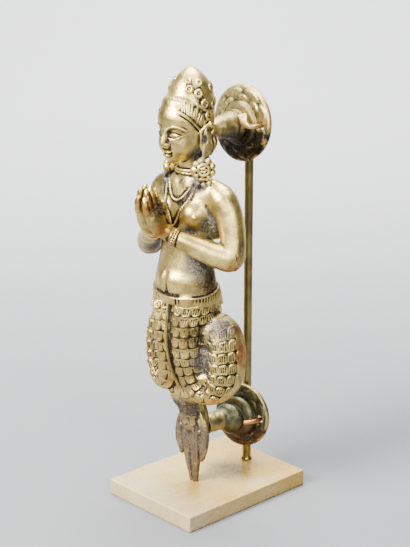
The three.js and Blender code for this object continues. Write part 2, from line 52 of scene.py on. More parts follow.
CONTACT_GAP = 0.3
PLATE = (75.0, 100.0, 10.0)
PLATE_EDGE = 0.6
ROD_RADIUS = 2.7
ROD_Y = 35.0
ROD_BOTTOM = 4.3
ROD_TOP = 244.0
ROD_FOOT_RADIUS = 3.5

CROWN_BASE = 255.0
CROWN_TOP = 276.3
CROWN_Y = -13.6
BELT_Z = 137.6
BELT_HEIGHT = 5.0
BELT_TILT = 3.0
EYE_Z = 238.3
MOUTH_Z = 227.6

# Sections from hip to neck: height, centre Y, half width, half depth
TORSO = [
    [112, -15, 11, 9], [121, -16.6, 14, 12], [128, -17.2, 17.2, 14], [134, -17.3, 21.2, 15.6],
    [141, -17.8, 22.2, 16.2], [147, -18.3, 21.3, 15.8], [156, -17.9, 19.2, 14.8], [165, -17.2, 18, 13.8],
    [176, -16.2, 18.8, 13], [186, -15.5, 20.8, 12.8], [196, -14.4, 23, 12.2], [203, -13.6, 22.6, 11],
    [208, -13.2, 18.4, 9.4], [212, -13.6, 11.4, 8.2], [218, -15, 7.6, 7.4], [227, -16.5, 7.2, 7.4],
]

# Sections of the head: height, centre Y, half width, half depth to the face, half depth to the nape
HEAD = [
    [221, -25.0, 3.0, 3.6, 4], [223, -23.0, 5.6, 6.8, 8], [226, -20.6, 8.6, 11.2, 12],
    [231, -18.6, 11.8, 14.6, 14.6], [237, -17.6, 13.7, 16.2, 16.2], [243, -17.2, 14.8, 17.2, 17.4],
    [249, -16.6, 14.8, 17.4, 17.4], [255, -15.2, 14, 16, 14.8], [260, -14.2, 11, 12, 12],
]

UPPER_ARM = [
    [17.2, -12.2, 204.8, 6.4], [25, -11.7, 200, 8.5], [30.8, -11.2, 190.4, 8.2], [34.4, -12, 178, 7.6],
    [36.2, -14.2, 168.6, 7.4], [35.2, -17, 165.6, 6],
]
FOREARM = [
    [36.2, -12.4, 168, 6.6], [35, -16.4, 167, 7.6], [27.6, -23, 170, 7.3], [18, -30.2, 174.8, 6.1],
    [9, -36.4, 179, 4.8], [6.6, -39.2, 182.4, 4.6],
]
RIGHT_ELBOW_DROP = 5.4

PALM = [[6.2, -38.6, 180.4, 3.6, 4.4], [4.8, -42.8, 186, 4.0, 6.6], [4.0, -45.6, 192, 3.8, 7.4],
        [3.6, -46.8, 197, 3.0, 6.6]]
FINGERS = [
    ([3.9, -50.0, 190.4], [2.6, -53.0, 203.6]),
    ([3.9, -48.0, 193.8], [2.4, -51.4, 208.2]),
    ([3.9, -45.0, 195.8], [2.3, -48.2, 210.0]),
    ([3.9, -41.8, 196.2], [2.5, -44.6, 207.8]),
]
THUMB = ([5.6, -37.8, 186.2], [4.2, -39.8, 199.4])
FINGER_RADIUS = 2.15

# A tail from hip to tip, and its scales
TAIL = [
    [9.8, -17, 137, 12, 16.2], [9, -17.6, 128, 11.2, 16.8], [8.4, -18, 118, 10.6, 16.6],
    [7.8, -18.2, 107, 10.8, 15.8], [7.4, -17.6, 97, 10.2, 14.4], [8.8, -16.4, 87, 8.8, 13.4],
    [12.8, -15, 79.8, 7.5, 12.8], [18.4, -13.4, 77, 6.9, 12.6], [24.4, -12, 79.6, 6.8, 12.6],
    [28.4, -11, 88, 6.9, 12.6], [29.2, -10.6, 99, 7.0, 12.6], [28.2, -10.3, 110, 6.8, 12],
    [25.8, -10, 118.6, 5.6, 9.8], [22.2, -10, 124, 3, 5.5],
]
TAIL_STEPS = 78
COLUMN_END = 45
COIL_START = 33
SCALE_WIDTH = 6.1
SCALE_PITCH = 6.7
# Ovoids that fill the coil's middle to a dish: centre and half sizes
DISHES = [((18.6, -9.6, 100), (11, 12.6, 18)), ((20.4, -11, 115), (5.4, 11, 11)),
          ((18.4, -13, 86), (6, 11, 7))]
# Where the rolled rim sits round the tail at its start and its end, in degrees
RIM_START = 132.0
RIM_END = 232.0
SEAM = [
    [0, -29, 135, 1.6, 4.8], [0, -30.4, 122, 1.6, 5.4], [0, -30, 109, 1.6, 5.8], [0, -27, 96, 1.6, 6],
    [0, -22.4, 84, 1.6, 5.6], [0, -17, 73, 1.6, 4], [0, -14.6, 64, 1.6, 3],
]

# Hair: where the crown meets it, and where it meets the brow
CROWN_LINE = [[0, -30.6, 262.6], [3.7, -28.8, 262.6], [7.6, -26.5, 261.2], [11.2, -22.8, 258.2],
              [14.2, -18, 254.1], [15, -14.6, 249.6]]
HAIRLINE = [[0, -32.4, 258.2], [2.9, -31.4, 255.2], [5.6, -30.6, 253.6], [8.5, -29.4, 251.8],
            [11.3, -27.2, 249.8], [13.1, -25, 247.4], [14, -22.6, 244.6], [14.6, -19.2, 240.8]]
HEAD_MIDDLE = (0, -15.5, 248)
RINGLETS = [((8.7, -22.9, 266.1), 2.1), ((12.5, -18.7, 263), 2.2), ((14.4, -15.6, 256.8), 2.2),
            ((14.6, -12.7, 249.2), 2.7), ((14.2, -7.4, 256), 2.2), ((10.2, -1.2, 257), 2.2),
            ((3.6, 1.2, 257.4), 2.2), ((6, -21.2, 270.3), 1.8), ((10, -16.1, 268.8), 1.8),
            ((11.1, -8.1, 264.5), 2.0), ((6, -3, 265), 2.0)]
ANKLE = [[-2, -12, 78, 15, 12], [-3, -12, 70, 15.4, 11.6], [-2.6, -12, 65, 11.4, 10], [-1.4, -12, 60, 9, 8],
         [-0.6, -12, 55, 8, 6.4], [0, -12.4, 49, 7, 5]]
COLLAR = [[0, -9.4, 61, 4.8, 4.6], [0, -7.4, 56, 5.8, 5.4], [0, -7, 46, 6.2, 5.8], [0, -8.6, 38, 4.6, 4]]
OUTER_FIN = [[3.4, -12, 60, 2.6, 2.6], [7.6, -12.4, 53, 4.4, 3], [10.2, -13, 44, 4.6, 2.8],
             [10.4, -13.6, 35, 3.6, 2.4], [9.2, -14, 27.4, 1.4, 1.4]]
INNER_FIN = [[2, -12, 60, 2.8, 3], [3.2, -12.6, 50, 4.2, 3.4], [3.6, -12.8, 38, 4.4, 3.2],
             [3, -12.4, 26, 3.6, 3], [2, -11.8, 16, 2.8, 2.6], [1.7, -11.6, 10.9, 2.2, 2]]

UPPER_ROSETTE = {
    "centre": (0.5, 30.0, 236.1), "radius": 23.5, "yaw": 1.0, "pitch": 5.5, "stalk_z": 236.4,
    "profile": [[-3.2, 4.5], [1, 4.6], [4, 4.8], [7, 5.9], [9.4, 6.9], [13, 7.3], [15.4, 7.9], [16.6, 8.6],
                [17.8, 8.7], [18.8, 8.1], [19.4, 7.6], [20.2, 8.2], [21.2, 9.2], [22.2, 9.3], [23, 8.7],
                [23.6, 10.4], [24.2, 12.4], [25.2, 13.4], [26.2, 14]],
}
LOWER_ROSETTE = {
    "centre": (2.3, 30.0, 44.2), "radius": 20.6, "yaw": 8.0, "pitch": 5.0, "stalk_z": 45.4,
    "profile": [[-3, 6.2], [4, 6.3], [8, 6.4], [11, 6.8], [12.4, 7.4], [13.4, 8.4], [15, 9.4], [16.6, 9.9],
                [18, 9.6], [19, 8.9], [20.2, 8.7], [20.8, 10.2], [21.8, 11.9], [23.4, 12.9], [24.8, 12.8],
                [26, 12.3]],
}
LEAN_START = 6.0
SIDE_HOLE_RADIUS = 3.0
SIDE_HOLE_OUT = 0.72
HOOK_RADIUS = 1.35
# A wire over its disc: X from the hole, Y, Z from the hole, width and thickness in wire radii
UPPER_HOOK_REACH = [(0.2, 24, 0.4, 1, 1), (-1.4, 19.4, 0.6, 1.1, 1), (-4, 17, 3.6, 2.0, 0.9),
                    (-5.6, 16.8, 8.0, 2.8, 0.8)]
LOWER_PIN_REACH = [(0.2, 24, 0, 1, 1), (-1.2, 20.4, 0, 1, 1), (-3, 17.4, 0, 1, 1)]

FRONT = np.array([0.0, -1.0, 0.0])
FIELD_LOW = (-55.6, 10.0)
FIELD_HIGH = (44.4, 4.4, 277.2)
# Height and radius of the flower
NEAR_EARRING = (217.8, 7.6)
FAR_EARRING = (214.8, 5.8)
WRIST = (9.6, -36, 178.7)
WRIST_WAY = (-0.8, -0.5, 0.33)
BEAD_LIFT = 0.15
PETALS = 8

# The camera, in millimetres, and the way the backdrop faces, in degrees
CAMERA_PLACE = (690.03, -648.38, 459.08)
CAMERA_LOOK = (-0.69300, 0.64886, -0.31421)
CAMERA_UP = (-0.2294, 0.2148, 0.9494)
LENS = 106.7035
SENSOR = 36
STAGE_TURN = 46.884


# Curves and distances

def stations(table, count):
    """Rows of a station table, blended smoothly, at even places."""
    rows = np.array(table, float)
    last = len(rows) - 1
    place = np.linspace(0, last, count)
    first = np.minimum(place.astype(int), last - 1)
    f = (place - first)[:, None]
    a, b, c, d = (rows[np.clip(first + k, 0, last)] for k in (-1, 0, 1, 2))
    return b + 0.5 * f * (c - a + f * (2 * a - 5 * b + 4 * c - d + f * (3 * b - a - 3 * c + d)))


def unit(rows):
    return rows / np.linalg.norm(rows, axis=1)[:, None]


def lengths(path):
    """How far along a path each of its points lies."""
    return np.concatenate([[0], np.cumsum(np.linalg.norm(np.diff(path, axis=0), axis=1))])


def path_axes(path):
    """Unit vectors at each point of a path: along it, to its front and to its side."""
    along = unit(np.gradient(path, axis=0))
    face = unit(FRONT - (along @ FRONT)[:, None] * along)
    return along, face, np.cross(face, along)


def mirrored(rows):
    return [[-row[0], *row[1:]] for row in rows]


def ease(value, low, high):
    """0 at low, 1 at high, smooth between."""
    f = np.clip((value - low) / (high - low), 0, 1)
    return f * f * (3 - 2 * f)


def oval(p, q, a, b):
    """About the distance from an oval of half sizes a and b."""
    reach = np.sqrt((p / a) ** 2 + (q / b) ** 2) + 1e-5
    slope = np.sqrt((p / (a * a)) ** 2 + (q / (b * b)) ** 2) / reach + 1e-5
    return (reach - 1) / slope


def ovoid(p, q, r, a, b, c):
    """About the distance from an ovoid of half sizes a, b and c."""
    reach = np.sqrt((p / a) ** 2 + (q / b) ** 2 + (r / c) ** 2) + 1e-5
    slope = np.sqrt((p / (a * a)) ** 2 + (q / (b * b)) ** 2 + (r / (c * c)) ** 2) / reach + 1e-5
    return (reach - 1) / slope


def fuse(a, b, blend):
    """Union of two distance fields with a fillet."""
    h = np.clip(0.5 + 0.5 * (b - a) / blend, 0, 1)
    return b + h * (a - b) - blend * h * (1 - h)


class Field:
    """A distance field on an even grid."""

    def __init__(self, low, high, voxel):
        self.voxel = voxel
        self.low = np.array(low, float)
        self.count = np.ceil((np.array(high) - self.low) / voxel).astype(int) + 1
        self.axes = [(self.low[k] + voxel * np.arange(self.count[k])).astype(np.float32) for k in range(3)]
        self.data = np.full(self.count, FAR, np.float32)

    def window(self, low, high):
        """The part of the grid inside a box, and its X, Y and Z."""
        first = [max(int((low[k] - self.low[k]) / self.voxel), 0) for k in range(3)]
        last = [min(int((high[k] - self.low[k]) / self.voxel) + 2, self.count[k]) for k in range(3)]
        part = tuple(slice(first[k], max(last[k], first[k])) for k in range(3))
        x, y, z = (self.axes[k][part[k]] for k in range(3))
        return part, x[:, None, None], y[None, :, None], z[None, None, :]

    def add(self, part, distance, blend=0.5):
        self.data[part] = fuse(self.data[part], distance, blend)

    def cut(self, part, distance, blend=0.5):
        self.data[part] = -fuse(-self.data[part], distance, blend)

    def front(self, x, z):
        """Y of the surface met first from the front at X and Z."""
        i = int(round((x - self.low[0]) / self.voxel))
        k = int(round((z - self.low[2]) / self.voxel))
        row = self.data[i, :, k]
        inside = np.nonzero(row < 0)[0]
        if len(inside) == 0 or inside[0] == 0:
            return None
        j = inside[0]
        share = row[j - 1] / (row[j - 1] - row[j])
        return float(self.axes[1][j - 1] + share * self.voxel)

    def near(self, points):
        return sampled(self.data, self.low, self.voxel, np.asarray(points, float))

    def skin(self, point, centre=HEAD_MIDDLE, out=0.0):
        """Where a line from a centre towards a point leaves the body."""
        centre = np.array(centre, float)
        way = np.array(point, float) - centre
        share = np.linspace(1.5, 0.4, 276)
        inside = np.nonzero(self.near(centre + share[:, None] * way) < 0)[0]
        met = share[inside[0]] if len(inside) else 1.0
        return centre + (met + out / np.linalg.norm(way)) * way

    def outward(self, point):
        """The direction away from the body at a point."""
        step = 1.5 * self.voxel * np.eye(3)
        slope = self.near(point + step) - self.near(point - step)
        return slope / np.linalg.norm(slope)

    # Bodies

    def ball(self, centre, half, blend=0.5, cut=False):
        reach = np.array(half) + blend + 1.5
        part, x, y, z = self.window(np.array(centre) - reach, np.array(centre) + reach)
        d = ovoid(x - centre[0], y - centre[1], z - centre[2], *half)
        (self.cut if cut else self.add)(part, d, blend)

    def tube(self, rows, steps, blend=0.5, relief=None, cut=False):
        """A body along a path given as X, Y, Z, half width and half depth."""
        table = stations(rows, steps + 1)
        path, wide = table[:, :3], table[:, 3]
        deep = table[:, 4] if table.shape[1] > 4 else wide
        along, face, side = path_axes(path)
        margin = np.maximum(wide, deep).max() + blend + (3 if relief else 1.2)
        part, x, y, z = self.window(path.min(0) - margin, path.max(0) + margin)
        nearest = np.full(self.data[part].shape, 1e9, np.float32)
        place = np.zeros_like(nearest)
        for i in range(steps):
            step = (path[i + 1] - path[i]).astype(np.float32)
            reach = float(step @ step)
            p, q, r = x - path[i, 0], y - path[i, 1], z - path[i, 2]
            t = np.clip((p * step[0] + q * step[1] + r * step[2]) / reach, 0, 1)
            gap = (p - t * step[0]) ** 2 + (q - t * step[1]) ** 2 + (r - t * step[2]) ** 2
            closer = gap < nearest
            nearest = np.where(closer, gap, nearest)
            place = np.where(closer, i + t, place)
        index = np.arange(steps + 1)
        at = lambda column: np.interp(place, index, column).astype(np.float32)
        p, q, r = x - at(path[:, 0]), y - at(path[:, 1]), z - at(path[:, 2])
        across = p * at(side[:, 0]) + q * at(side[:, 1]) + r * at(side[:, 2])
        facing = p * at(face[:, 0]) + q * at(face[:, 1]) + r * at(face[:, 2])
        beyond = p * at(along[:, 0]) + q * at(along[:, 1]) + r * at(along[:, 2])
        a, b = at(wide), at(deep)
        d = ovoid(across, facing, beyond, a, b, np.minimum(a, b))
        if relief:
            gone = lengths(path)
            # The angle runs from the back over the inner side, the front and the outer side
            angle = np.mod(np.arctan2(facing / b, across / a) + math.pi / 2, 2 * math.pi) - math.pi / 2
            arc = 0.5 * (a + b) * (angle - math.pi / 2) + 0.25 * (b - a) * np.sin(2 * angle)
            d = d - relief(at(gone), angle, arc)
        (self.cut if cut else self.add)(part, d, blend)

    def cord(self, points, radius, blend=0.4, steps=None, cut=False):
        rows = [[*p, radius] for p in points]
        self.tube(rows, steps or 6 * (len(points) - 1), blend, cut=cut)

    def drape(self, points, lift=0.0):
        """Points given as X and Z, laid on the front of what is there."""
        laid = []
        for x, z in points:
            y = self.front(x, z)
            if y is not None:
                laid.append([x, y - lift, z])
        return laid

    def levels(self, table, blend, top_round=1.0):
        """A body of level ovals: height, centre Y, half width, depth to the front and to the back."""
        rows = stations(table, 120)
        z0, z1 = rows[0, 0], rows[-1, 0]
        front, back = rows[:, 3], rows[:, 4] if rows.shape[1] > 4 else rows[:, 3]
        wide = rows[:, 2].max()
        low = (-wide - 3, (rows[:, 1] - front).min() - 3, z0 - 2)
        high = (wide + 3, (rows[:, 1] + back).max() + 3, z1 + 2)
        part, x, y, z = self.window(low, high)
        at = lambda column: np.interp(z, rows[:, 0], column).astype(np.float32)
        q = y - at(rows[:, 1])
        d = oval(x, q, at(rows[:, 2]), np.where(q < 0, at(front), at(back)))
        d = -fuse(-d, -np.maximum(z - z1, z0 - z), top_round)
        self.add(part, d, blend)


# Scales

def tab_relief(across, along, width, pitch, low, high, grooves, stagger, groove_depth):
    """Height of rows of grooved tabs with rounded free ends, laid like roof tiles."""
    row = np.floor(along / pitch)
    v = along - (row + 0.5) * pitch
    shifted = across - (row % 2) * stagger * width
    column = np.round(shifted / width)
    u = shifted - column * width
    half_u, half_v = 0.5 * width - 0.42, 0.5 * pitch - 0.38
    corner = np.where(v > 0, 2.1, 0.9)
    corner = np.minimum(corner, np.minimum(half_u, half_v) * 0.9)
    p, q = np.abs(u) - half_u + corner, np.abs(v) - half_v + corner
    edge = np.minimum(np.maximum(p, q), 0) + np.sqrt(np.maximum(p, 0) ** 2 + np.maximum(q, 0) ** 2) - corner
    mask = 1 - ease(edge, -0.55, 0.3)
    jitter = 0.12 * np.sin(12.9898 * row + 78.233 * column)
    height = low + (high - low) * (v + half_v) / (2 * half_v) + jitter
    crown = 0.18 * (1 - (u / half_u) ** 2)
    line = 0.5 + 0.5 * np.cos(2 * math.pi * grooves * (u + half_u) / (2 * half_u))
    inner = 1 - ease(np.abs(v), half_v - 1.2, half_v - 0.5)
    return mask * (height + crown - groove_depth * line * inner * (np.abs(u) < half_u - 0.35))


# The figure

def torso(body):
    body.levels(TORSO, 0.5)
    # A round belly with its furrow, and the furrow of the back
    body.ball((0, -21.8, 149.0), (15.2, 14.0, 8.6), 3.0)
    belly = [[0, -35.8, 162, 1.0, 1.6], [0, -37.4, 150, 1.6, 3.0], [0, -37.0, 141, 1.5, 2.6]]
    spine = [[0, 0.4, 196, 1.6, 2], [0, 0.2, 175, 1.8, 2.4], [0, 0.6, 158, 1.6, 1.6]]
    body.tube(belly, 10, 2.4, cut=True)
    body.tube(spine, 8, 2.2, cut=True)
    # Collar bones, shoulder blades and the side of the chest
    body.cord([[5.4, -20.6, 207], [10, -19.4, 207.4], [16, -15.8, 206.4]], 1.4, 4.0)
    body.ball((10.4, -4.6, 194), (5.6, 3.2, 8.4), 3.0)
    body.ball((20.6, -11.4, 187), (5.2, 6.6, 12), 4.5)


def breasts(body):
    body.ball((11.4, -21.4, 190.0), (8.8, 9.0, 9.0), 2.8)
    nipple = body.skin((18.0, -27.5, 190.4), (11.2, -21.6, 190), -0.3)
    body.ball(nipple, (1.1, 1.1, 1.1), 1.5)


def head(body):
    body.levels(HEAD, 1.6, 1.6)
    body.ball((0, -22.6, 248), (12.6, 12.0, 9.6), 3.0)
    body.ball((0, -20.8, 256.6), (11.6, 10.6, 5.4), 2.6)
    body.ball((0, -6.8, 230.4), (11, 8.2, 9), 2.4)


def face(body):
    # Cheeks, chin and eye sockets
    body.ball((6.0, -27.0, 231.8), (5.0, 4.8, 5.4), 4.5)
    body.ball((0, -29.0, 224.2), (3.2, 2.8, 2.6), 3.0)
    body.ball((5.9, -37.0, 239.6), (4.2, 3.4, 2.6), 3.0, cut=True)
    # Nose with its wings
    nose = [[0, -33.6, 243, 1.5, 1.3], [0, -34.4, 239, 1.4, 1.6], [0, -35.4, 235, 1.7, 2.0],
            [0, -35.6, 233.2, 1.9, 2.0], [0, -34.4, 232, 1.8, 1.3]]
    body.tube(nose, 16, 2.4)
    body.ball((1.9, -34.2, 232.8), (1.2, 1.6, 1.1), 1.2)
    # Lips and the line between them
    body.ball((0, -32.9, MOUTH_Z - 1.3), (2.9, 1.8, 1.2), 0.6)
    body.ball((1.3, -33.2, MOUTH_Z + 0.9), (2.5, 1.6, 0.9), 0.5)
    line = body.drape([(0, MOUTH_Z), (1.8, MOUTH_Z - 0.1), (4.0, MOUTH_Z + 0.7)], 0.1)
    body.cord(line, 0.45, 0.3, cut=True)
    # Lidded eyes
    body.ball((5.8, -30.5, EYE_Z), (3.6, 2.3, 2.1), 0.8)
    slit = [(2.4, -0.6), (4.2, -1.1), (6.4, -1.0), (9.2, 0.2)]
    crease = [(2.8, 0.9), (4.4, 1.9), (6.8, 2.0), (9.4, 0.9)]
    brow = [(1.3, 2.6), (3.4, 4.8), (6.6, 5.8), (9.8, 4.8), (11.6, 3.0)]
    for line, lift, radius, blend, cut in ((slit, 0.05, 0.48, 0.25, True), (crease, 0.0, 0.4, 0.25, True),
                                           (brow, -0.1, 0.6, 0.4, False)):
        body.cord(body.drape([(x, EYE_Z + z) for x, z in line], lift), radius, blend, cut=cut)


def ring_round(body, table, z, reach, radius, blend):
    """A cord lying round a level body at a height."""
    rows = stations(table, 80)
    y, a, b = (np.interp(z, rows[:, 0], rows[:, k]) for k in (1, 2, 3))
    part, x, yy, zz = body.window((-a - 4, y - b - 4, z - 3), (a + 4, y + b + 4, z + 3))
    d = np.sqrt((oval(x, yy - y, a, b) - reach) ** 2 + (zz - z) ** 2) - radius
    body.add(part, d, blend)


def hair(body):
    # Strands combed from the crown's edge down to the hairline, gathered towards the ear
    top, bottom = stations(CROWN_LINE, 101), stations(HAIRLINE, 101)
    strands = []
    for f in np.linspace(0.04, 1, 18):
        start = top[int(100 * f)] - (0, 0, 1.6 + 1.1 * math.sin(41 * f))
        end = bottom[int(100 * min(1.0, 0.1 + 0.98 * f))]
        full = 0.5 + 0.3 * ease(f, 0.0, 0.5)
        rows = []
        for t in np.linspace(0, 1, 5):
            size = full * (0.3 + 0.7 * math.sin(math.pi * t ** 0.7))
            rows.append([*body.skin(start + t * (end - start), out=-0.3), size])
        strands.append(rows)
    # The edge of the hair stands out more towards the ear
    edge, under = [], []
    for p, k in zip(bottom[::10], ease(np.linspace(0, 1, 11), 0.2, 0.5)):
        edge.append([*body.skin(p, out=-0.35 + 0.4 * k), 0.3 + 0.35 * k])
        under.append([*body.skin(p - (0.2, 0.3, 1.1), out=0.5 - 0.5 * k), 0.15 + 0.3 * k])
    for rows in strands:
        body.tube(rows, 10, 0.2)
    body.tube(edge, 30, 0.4)
    body.tube(under, 30, 0.3, cut=True)
    # Nape knot, combed down
    for k in range(9):
        angle = math.radians(-4 + 23 * k)
        x, y = 11 * math.cos(angle), -6.8 + 8.2 * math.sin(angle)
        if x > -0.5:
            low = [0.72 * x, -6.8 + 0.72 * (y + 6.8), 223.6, 1]
            body.tube([[0.5 * x, y * 0.5 - 3.4, 239, 1.4], [x, y, 231, 1.3], low], 8, 0.4)


def ears(body):
    # A broad lobe strap under a rolled curl, with the hollow of the ear before it
    strap = [[14.4, -14.6, 241.6, 1.4, 2.2], [15.4, -14.9, 237.6, 1.5, 3.2], [15.6, -15.8, 231, 1.5, 3.2],
             [15.6, -16.4, 225, 1.4, 2.7], [15.4, -17.2, 219.4, 1.2, 1.9]]
    body.tube(strap, 20, 0.5)
    rim = [[15.0, -19.6, 240.6, 0.8, 0.9], [15.4, -19.6, 236.6, 0.8, 0.9], [15.0, -19.4, 232.6, 0.7, 0.8],
           [14.6, -18.6, 230.0, 0.7, 0.8]]
    body.tube(rim, 14, 0.5)
    body.ball((17.0, -17.4, 236.4), (1.5, 1.7, 3.2), 0.4, cut=True)
    # The rolled curl at the top, with the dark hollow inside it
    curl = [[15.2, -18.6, 241.8, 0.9], [15.9, -15.6, 243.8, 1.1], [16.0, -12.0, 243.9, 1.2],
            [15.8, -10.0, 241.4, 1.1], [15.8, -11.4, 239.0, 1.0]]
    body.tube(curl, 20, 0.4)
    body.ball((16.6, -13.4, 241.4), (1.5, 2.0, 1.3), 0.4, cut=True)


def basis(direction):
    """Two unit vectors square to a direction."""
    out = np.array(direction, float)
    out /= np.linalg.norm(out)
    across = np.cross((0, 0, 1), out)
    across /= np.linalg.norm(across)
    return out, across, np.cross(out, across)


def hoop(body, centre, direction, size, thick, blend, flat=1.0):
    """A ring square to a direction."""
    out, across, up = basis(direction)
    reach = size + thick + 1.5
    part, x, y, z = body.window(centre - reach, centre + reach)
    p, q, r = x - centre[0], y - centre[1], z - centre[2]
    height = p * out[0] + q * out[1] + r * out[2]
    u = p * across[0] + q * across[1] + r * across[2]
    v = p * up[0] + q * up[1] + r * up[2]
    body.add(part, np.sqrt((np.sqrt(u * u + v * v) - size) ** 2 + (flat * height) ** 2) - thick, blend)


def ball_ring(body, centre, axes, reach, size, blend, count, start=0.0):
    """Balls at even places round a circle."""
    for k in range(count):
        angle = 2 * math.pi * (k + start) / count
        p = centre + reach * (math.cos(angle) * axes[0] + math.sin(angle) * axes[1])
        body.ball(p, (size,) * 3, blend)


def flower(body, centre, direction, radius):
    """A ring of plump petals about a rolled ring and a boss."""
    out, *axes = basis(direction)
    body.ball(centre - 2.6 * out, (radius * 0.66,) * 3, 0.8)
    ball_ring(body, centre - 0.4 * out, axes, 0.70 * radius, 0.31 * radius, 0.9, 9, 0.5)
    hoop(body, centre + 1.5 * out, out, 0.41 * radius, 0.14 * radius, 0.5)
    ball_ring(body, centre + 2.0 * out, axes, 0.17 * radius, 0.12 * radius, 0.3, 5)


def earrings(body, height, radius):
    centre = np.array([15.8, -18.4, height])
    out, across, up = basis((0.8, -0.6, 0.05))
    flower(body, centre, out, radius)
    for k in range(5):
        p = centre + (1.9 * k - 3.8) * across - (5.4 + 0.4 * (k % 2)) * up + 0.9 * out
        body.ball(p, (1.05,) * 3, 0.25)
    for along, down, size in ((-3.4, 8.4, 1.7), (0.1, 9.4, 1.9), (3.5, 8.2, 1.7)):
        p = centre + along * across - down * up
        body.ball(p, (size, size, 1.2 * size), 0.5)
        body.ball(p - 2.1 * up + 0.2 * out, (0.9, 0.9, 1.0), 0.35)


def crown_section(z):
    f = min(max((z - CROWN_BASE) / (CROWN_TOP - CROWN_BASE), 0), 1)
    swell = (1 - f ** 2.2) ** 0.72
    return CROWN_Y - 0.4 * (1 - f), 14.3 * swell, 14.2 * swell


def crown(body):
    heights = np.linspace(CROWN_BASE - 1.5, CROWN_TOP, 60)
    rows = np.array([crown_section(z) for z in heights])
    part, x, y, z = body.window((-19, -34, CROWN_BASE - 4), (19, 6, CROWN_TOP + 2))
    at = lambda column: np.interp(z, heights, column).astype(np.float32)
    a, b = np.maximum(at(rows[:, 1]), 0.4), np.maximum(at(rows[:, 2]), 0.4)
    d = oval(x, y - at(rows[:, 0]), a, b)
    # The slope of the dome shortens the true distance near its top
    fall = np.clip((z - CROWN_BASE) / (CROWN_TOP - CROWN_BASE), 0, 1)
    d = d * (1 - 0.55 * fall ** 2)
    d = np.maximum(d, np.maximum(z - CROWN_TOP + 0.2, CROWN_BASE - 2 - z))
    body.add(part, d, 1.0)


def ring_curl(body, point, radius):
    """A ring with a boss in it, in low relief."""
    point = body.skin(point)
    hoop(body, point, body.outward(point), 0.7 * radius, 0.3 * radius, 0.3, 1.1)
    body.ball(point, (0.25 * radius,) * 3, 0.25)


def ringlets(body):
    for point, radius in RINGLETS:
        ring_curl(body, point, 1.15 * radius)
    # A thin cord under the garland
    row = ((12.2, -20.4, 256.6), (14.2, -16.6, 253.6), (15, -13.4, 252.4), (14.4, -8, 252.2),
           (9, -1, 252.6))
    body.cord([body.skin(p, out=-0.1) for p in row], 0.5, 0.3, 30)


def arm_rows(table, drop):
    reach = max(row[0] for row in table)
    return [[x, y, z - drop * (x / reach) ** 3, r] for x, y, z, r in table]


def arms(body):
    for table, blend in ((UPPER_ARM, 3.0), (FOREARM, 1.6)):
        body.tube(table, 18, blend)
        body.tube(mirrored(arm_rows(table, RIGHT_ELBOW_DROP)), 18, blend)
    body.ball((37.4, -15.6, 164.2), (4.4, 4.6, 3.4), 2.4)
    body.ball((-37.4, -15.6, 158.8), (4.4, 4.6, 3.4), 2.4)


def hands(body):
    body.tube(PALM, 14, 1.2)
    body.ball((1.6, -44, 190), (3.2, 5.4, 7.4), 1.4)
    for root, tip in FINGERS + [THUMB]:
        root, tip = np.array(root), np.array(tip)
        rows = []
        for f, bend, size in ((0, 0, 1.05), (0.28, -0.5, 0.94), (0.38, -0.8, 1.06), (0.6, -0.9, 0.88),
                              (0.7, -0.8, 0.98), (0.9, -0.2, 0.84), (1.0, 0.2, 0.66)):
            p = root + f * (tip - root)
            rows.append([p[0] - 0.5 * bend, p[1] + bend, p[2], FINGER_RADIUS * size])
        body.tube(rows, 20, 0.3)
        nail = tip + np.array([1.2, -0.9, -1.8])
        body.ball(nail, (0.8, 0.9, 1.4), 0.25)
    # Knuckles across the back of the hand
    for root, tip in FINGERS:
        body.ball((root[0] + 1.5, root[1] + 0.6, root[2] + 0.2), (1.8, 1.9, 2.2), 1.4)


def beads(body, points, radius, pitch):
    """Beads laid along a line on the front of what is there, points given as X and Z."""
    line = stations([[*p] for p in points], 80)
    gone = lengths(line)
    laid = []
    for s in np.arange(0, gone[-1], pitch):
        x, z = np.interp(s, gone, line[:, 0]), np.interp(s, gone, line[:, 1])
        y = body.front(x, z)
        if y is not None:
            laid.append((x, y - BEAD_LIFT, z))
    for p in laid:
        body.ball(p, (radius,) * 3, 0.2)


def jewellery(body):
    ring_round(body, TORSO, 215.6, 0.1, 0.7, 0.4)
    ring_round(body, TORSO, 213.8, 0.3, 0.6, 0.3)
    beads(body, [(10.6, 208.4), (8.2, 204.6), (5.2, 200.6), (2.4, 198.4), (0, 197.8)], 0.72, 1.35)
    beads(body, [(12.6, 207), (10.4, 200.6), (7.2, 194), (3.8, 188), (1, 182.6), (0, 181.6)], 0.8, 1.45)
    y = body.front(0, 180.4)
    body.ball((0, y - 0.2, 180.4), (2.0, 1.3, 2.4), 0.5)
    for k in range(5):
        angle = 2 * math.pi * k / 5
        body.ball((1.8 * math.cos(angle), y - 0.5, 180.6 + 2.0 * math.sin(angle)), (0.8, 0.8, 0.8), 0.3)
    # Bracelets: two cords and a row of beads round each wrist
    out, *axes = basis(WRIST_WAY)
    wrist = np.array(WRIST)
    for along, size in ((-1.5, 5.2), (1.5, 5.0)):
        hoop(body, wrist + along * out, out, size, 0.6, 0.3)
    ball_ring(body, wrist, axes, 5.2, 0.75, 0.3, 20)


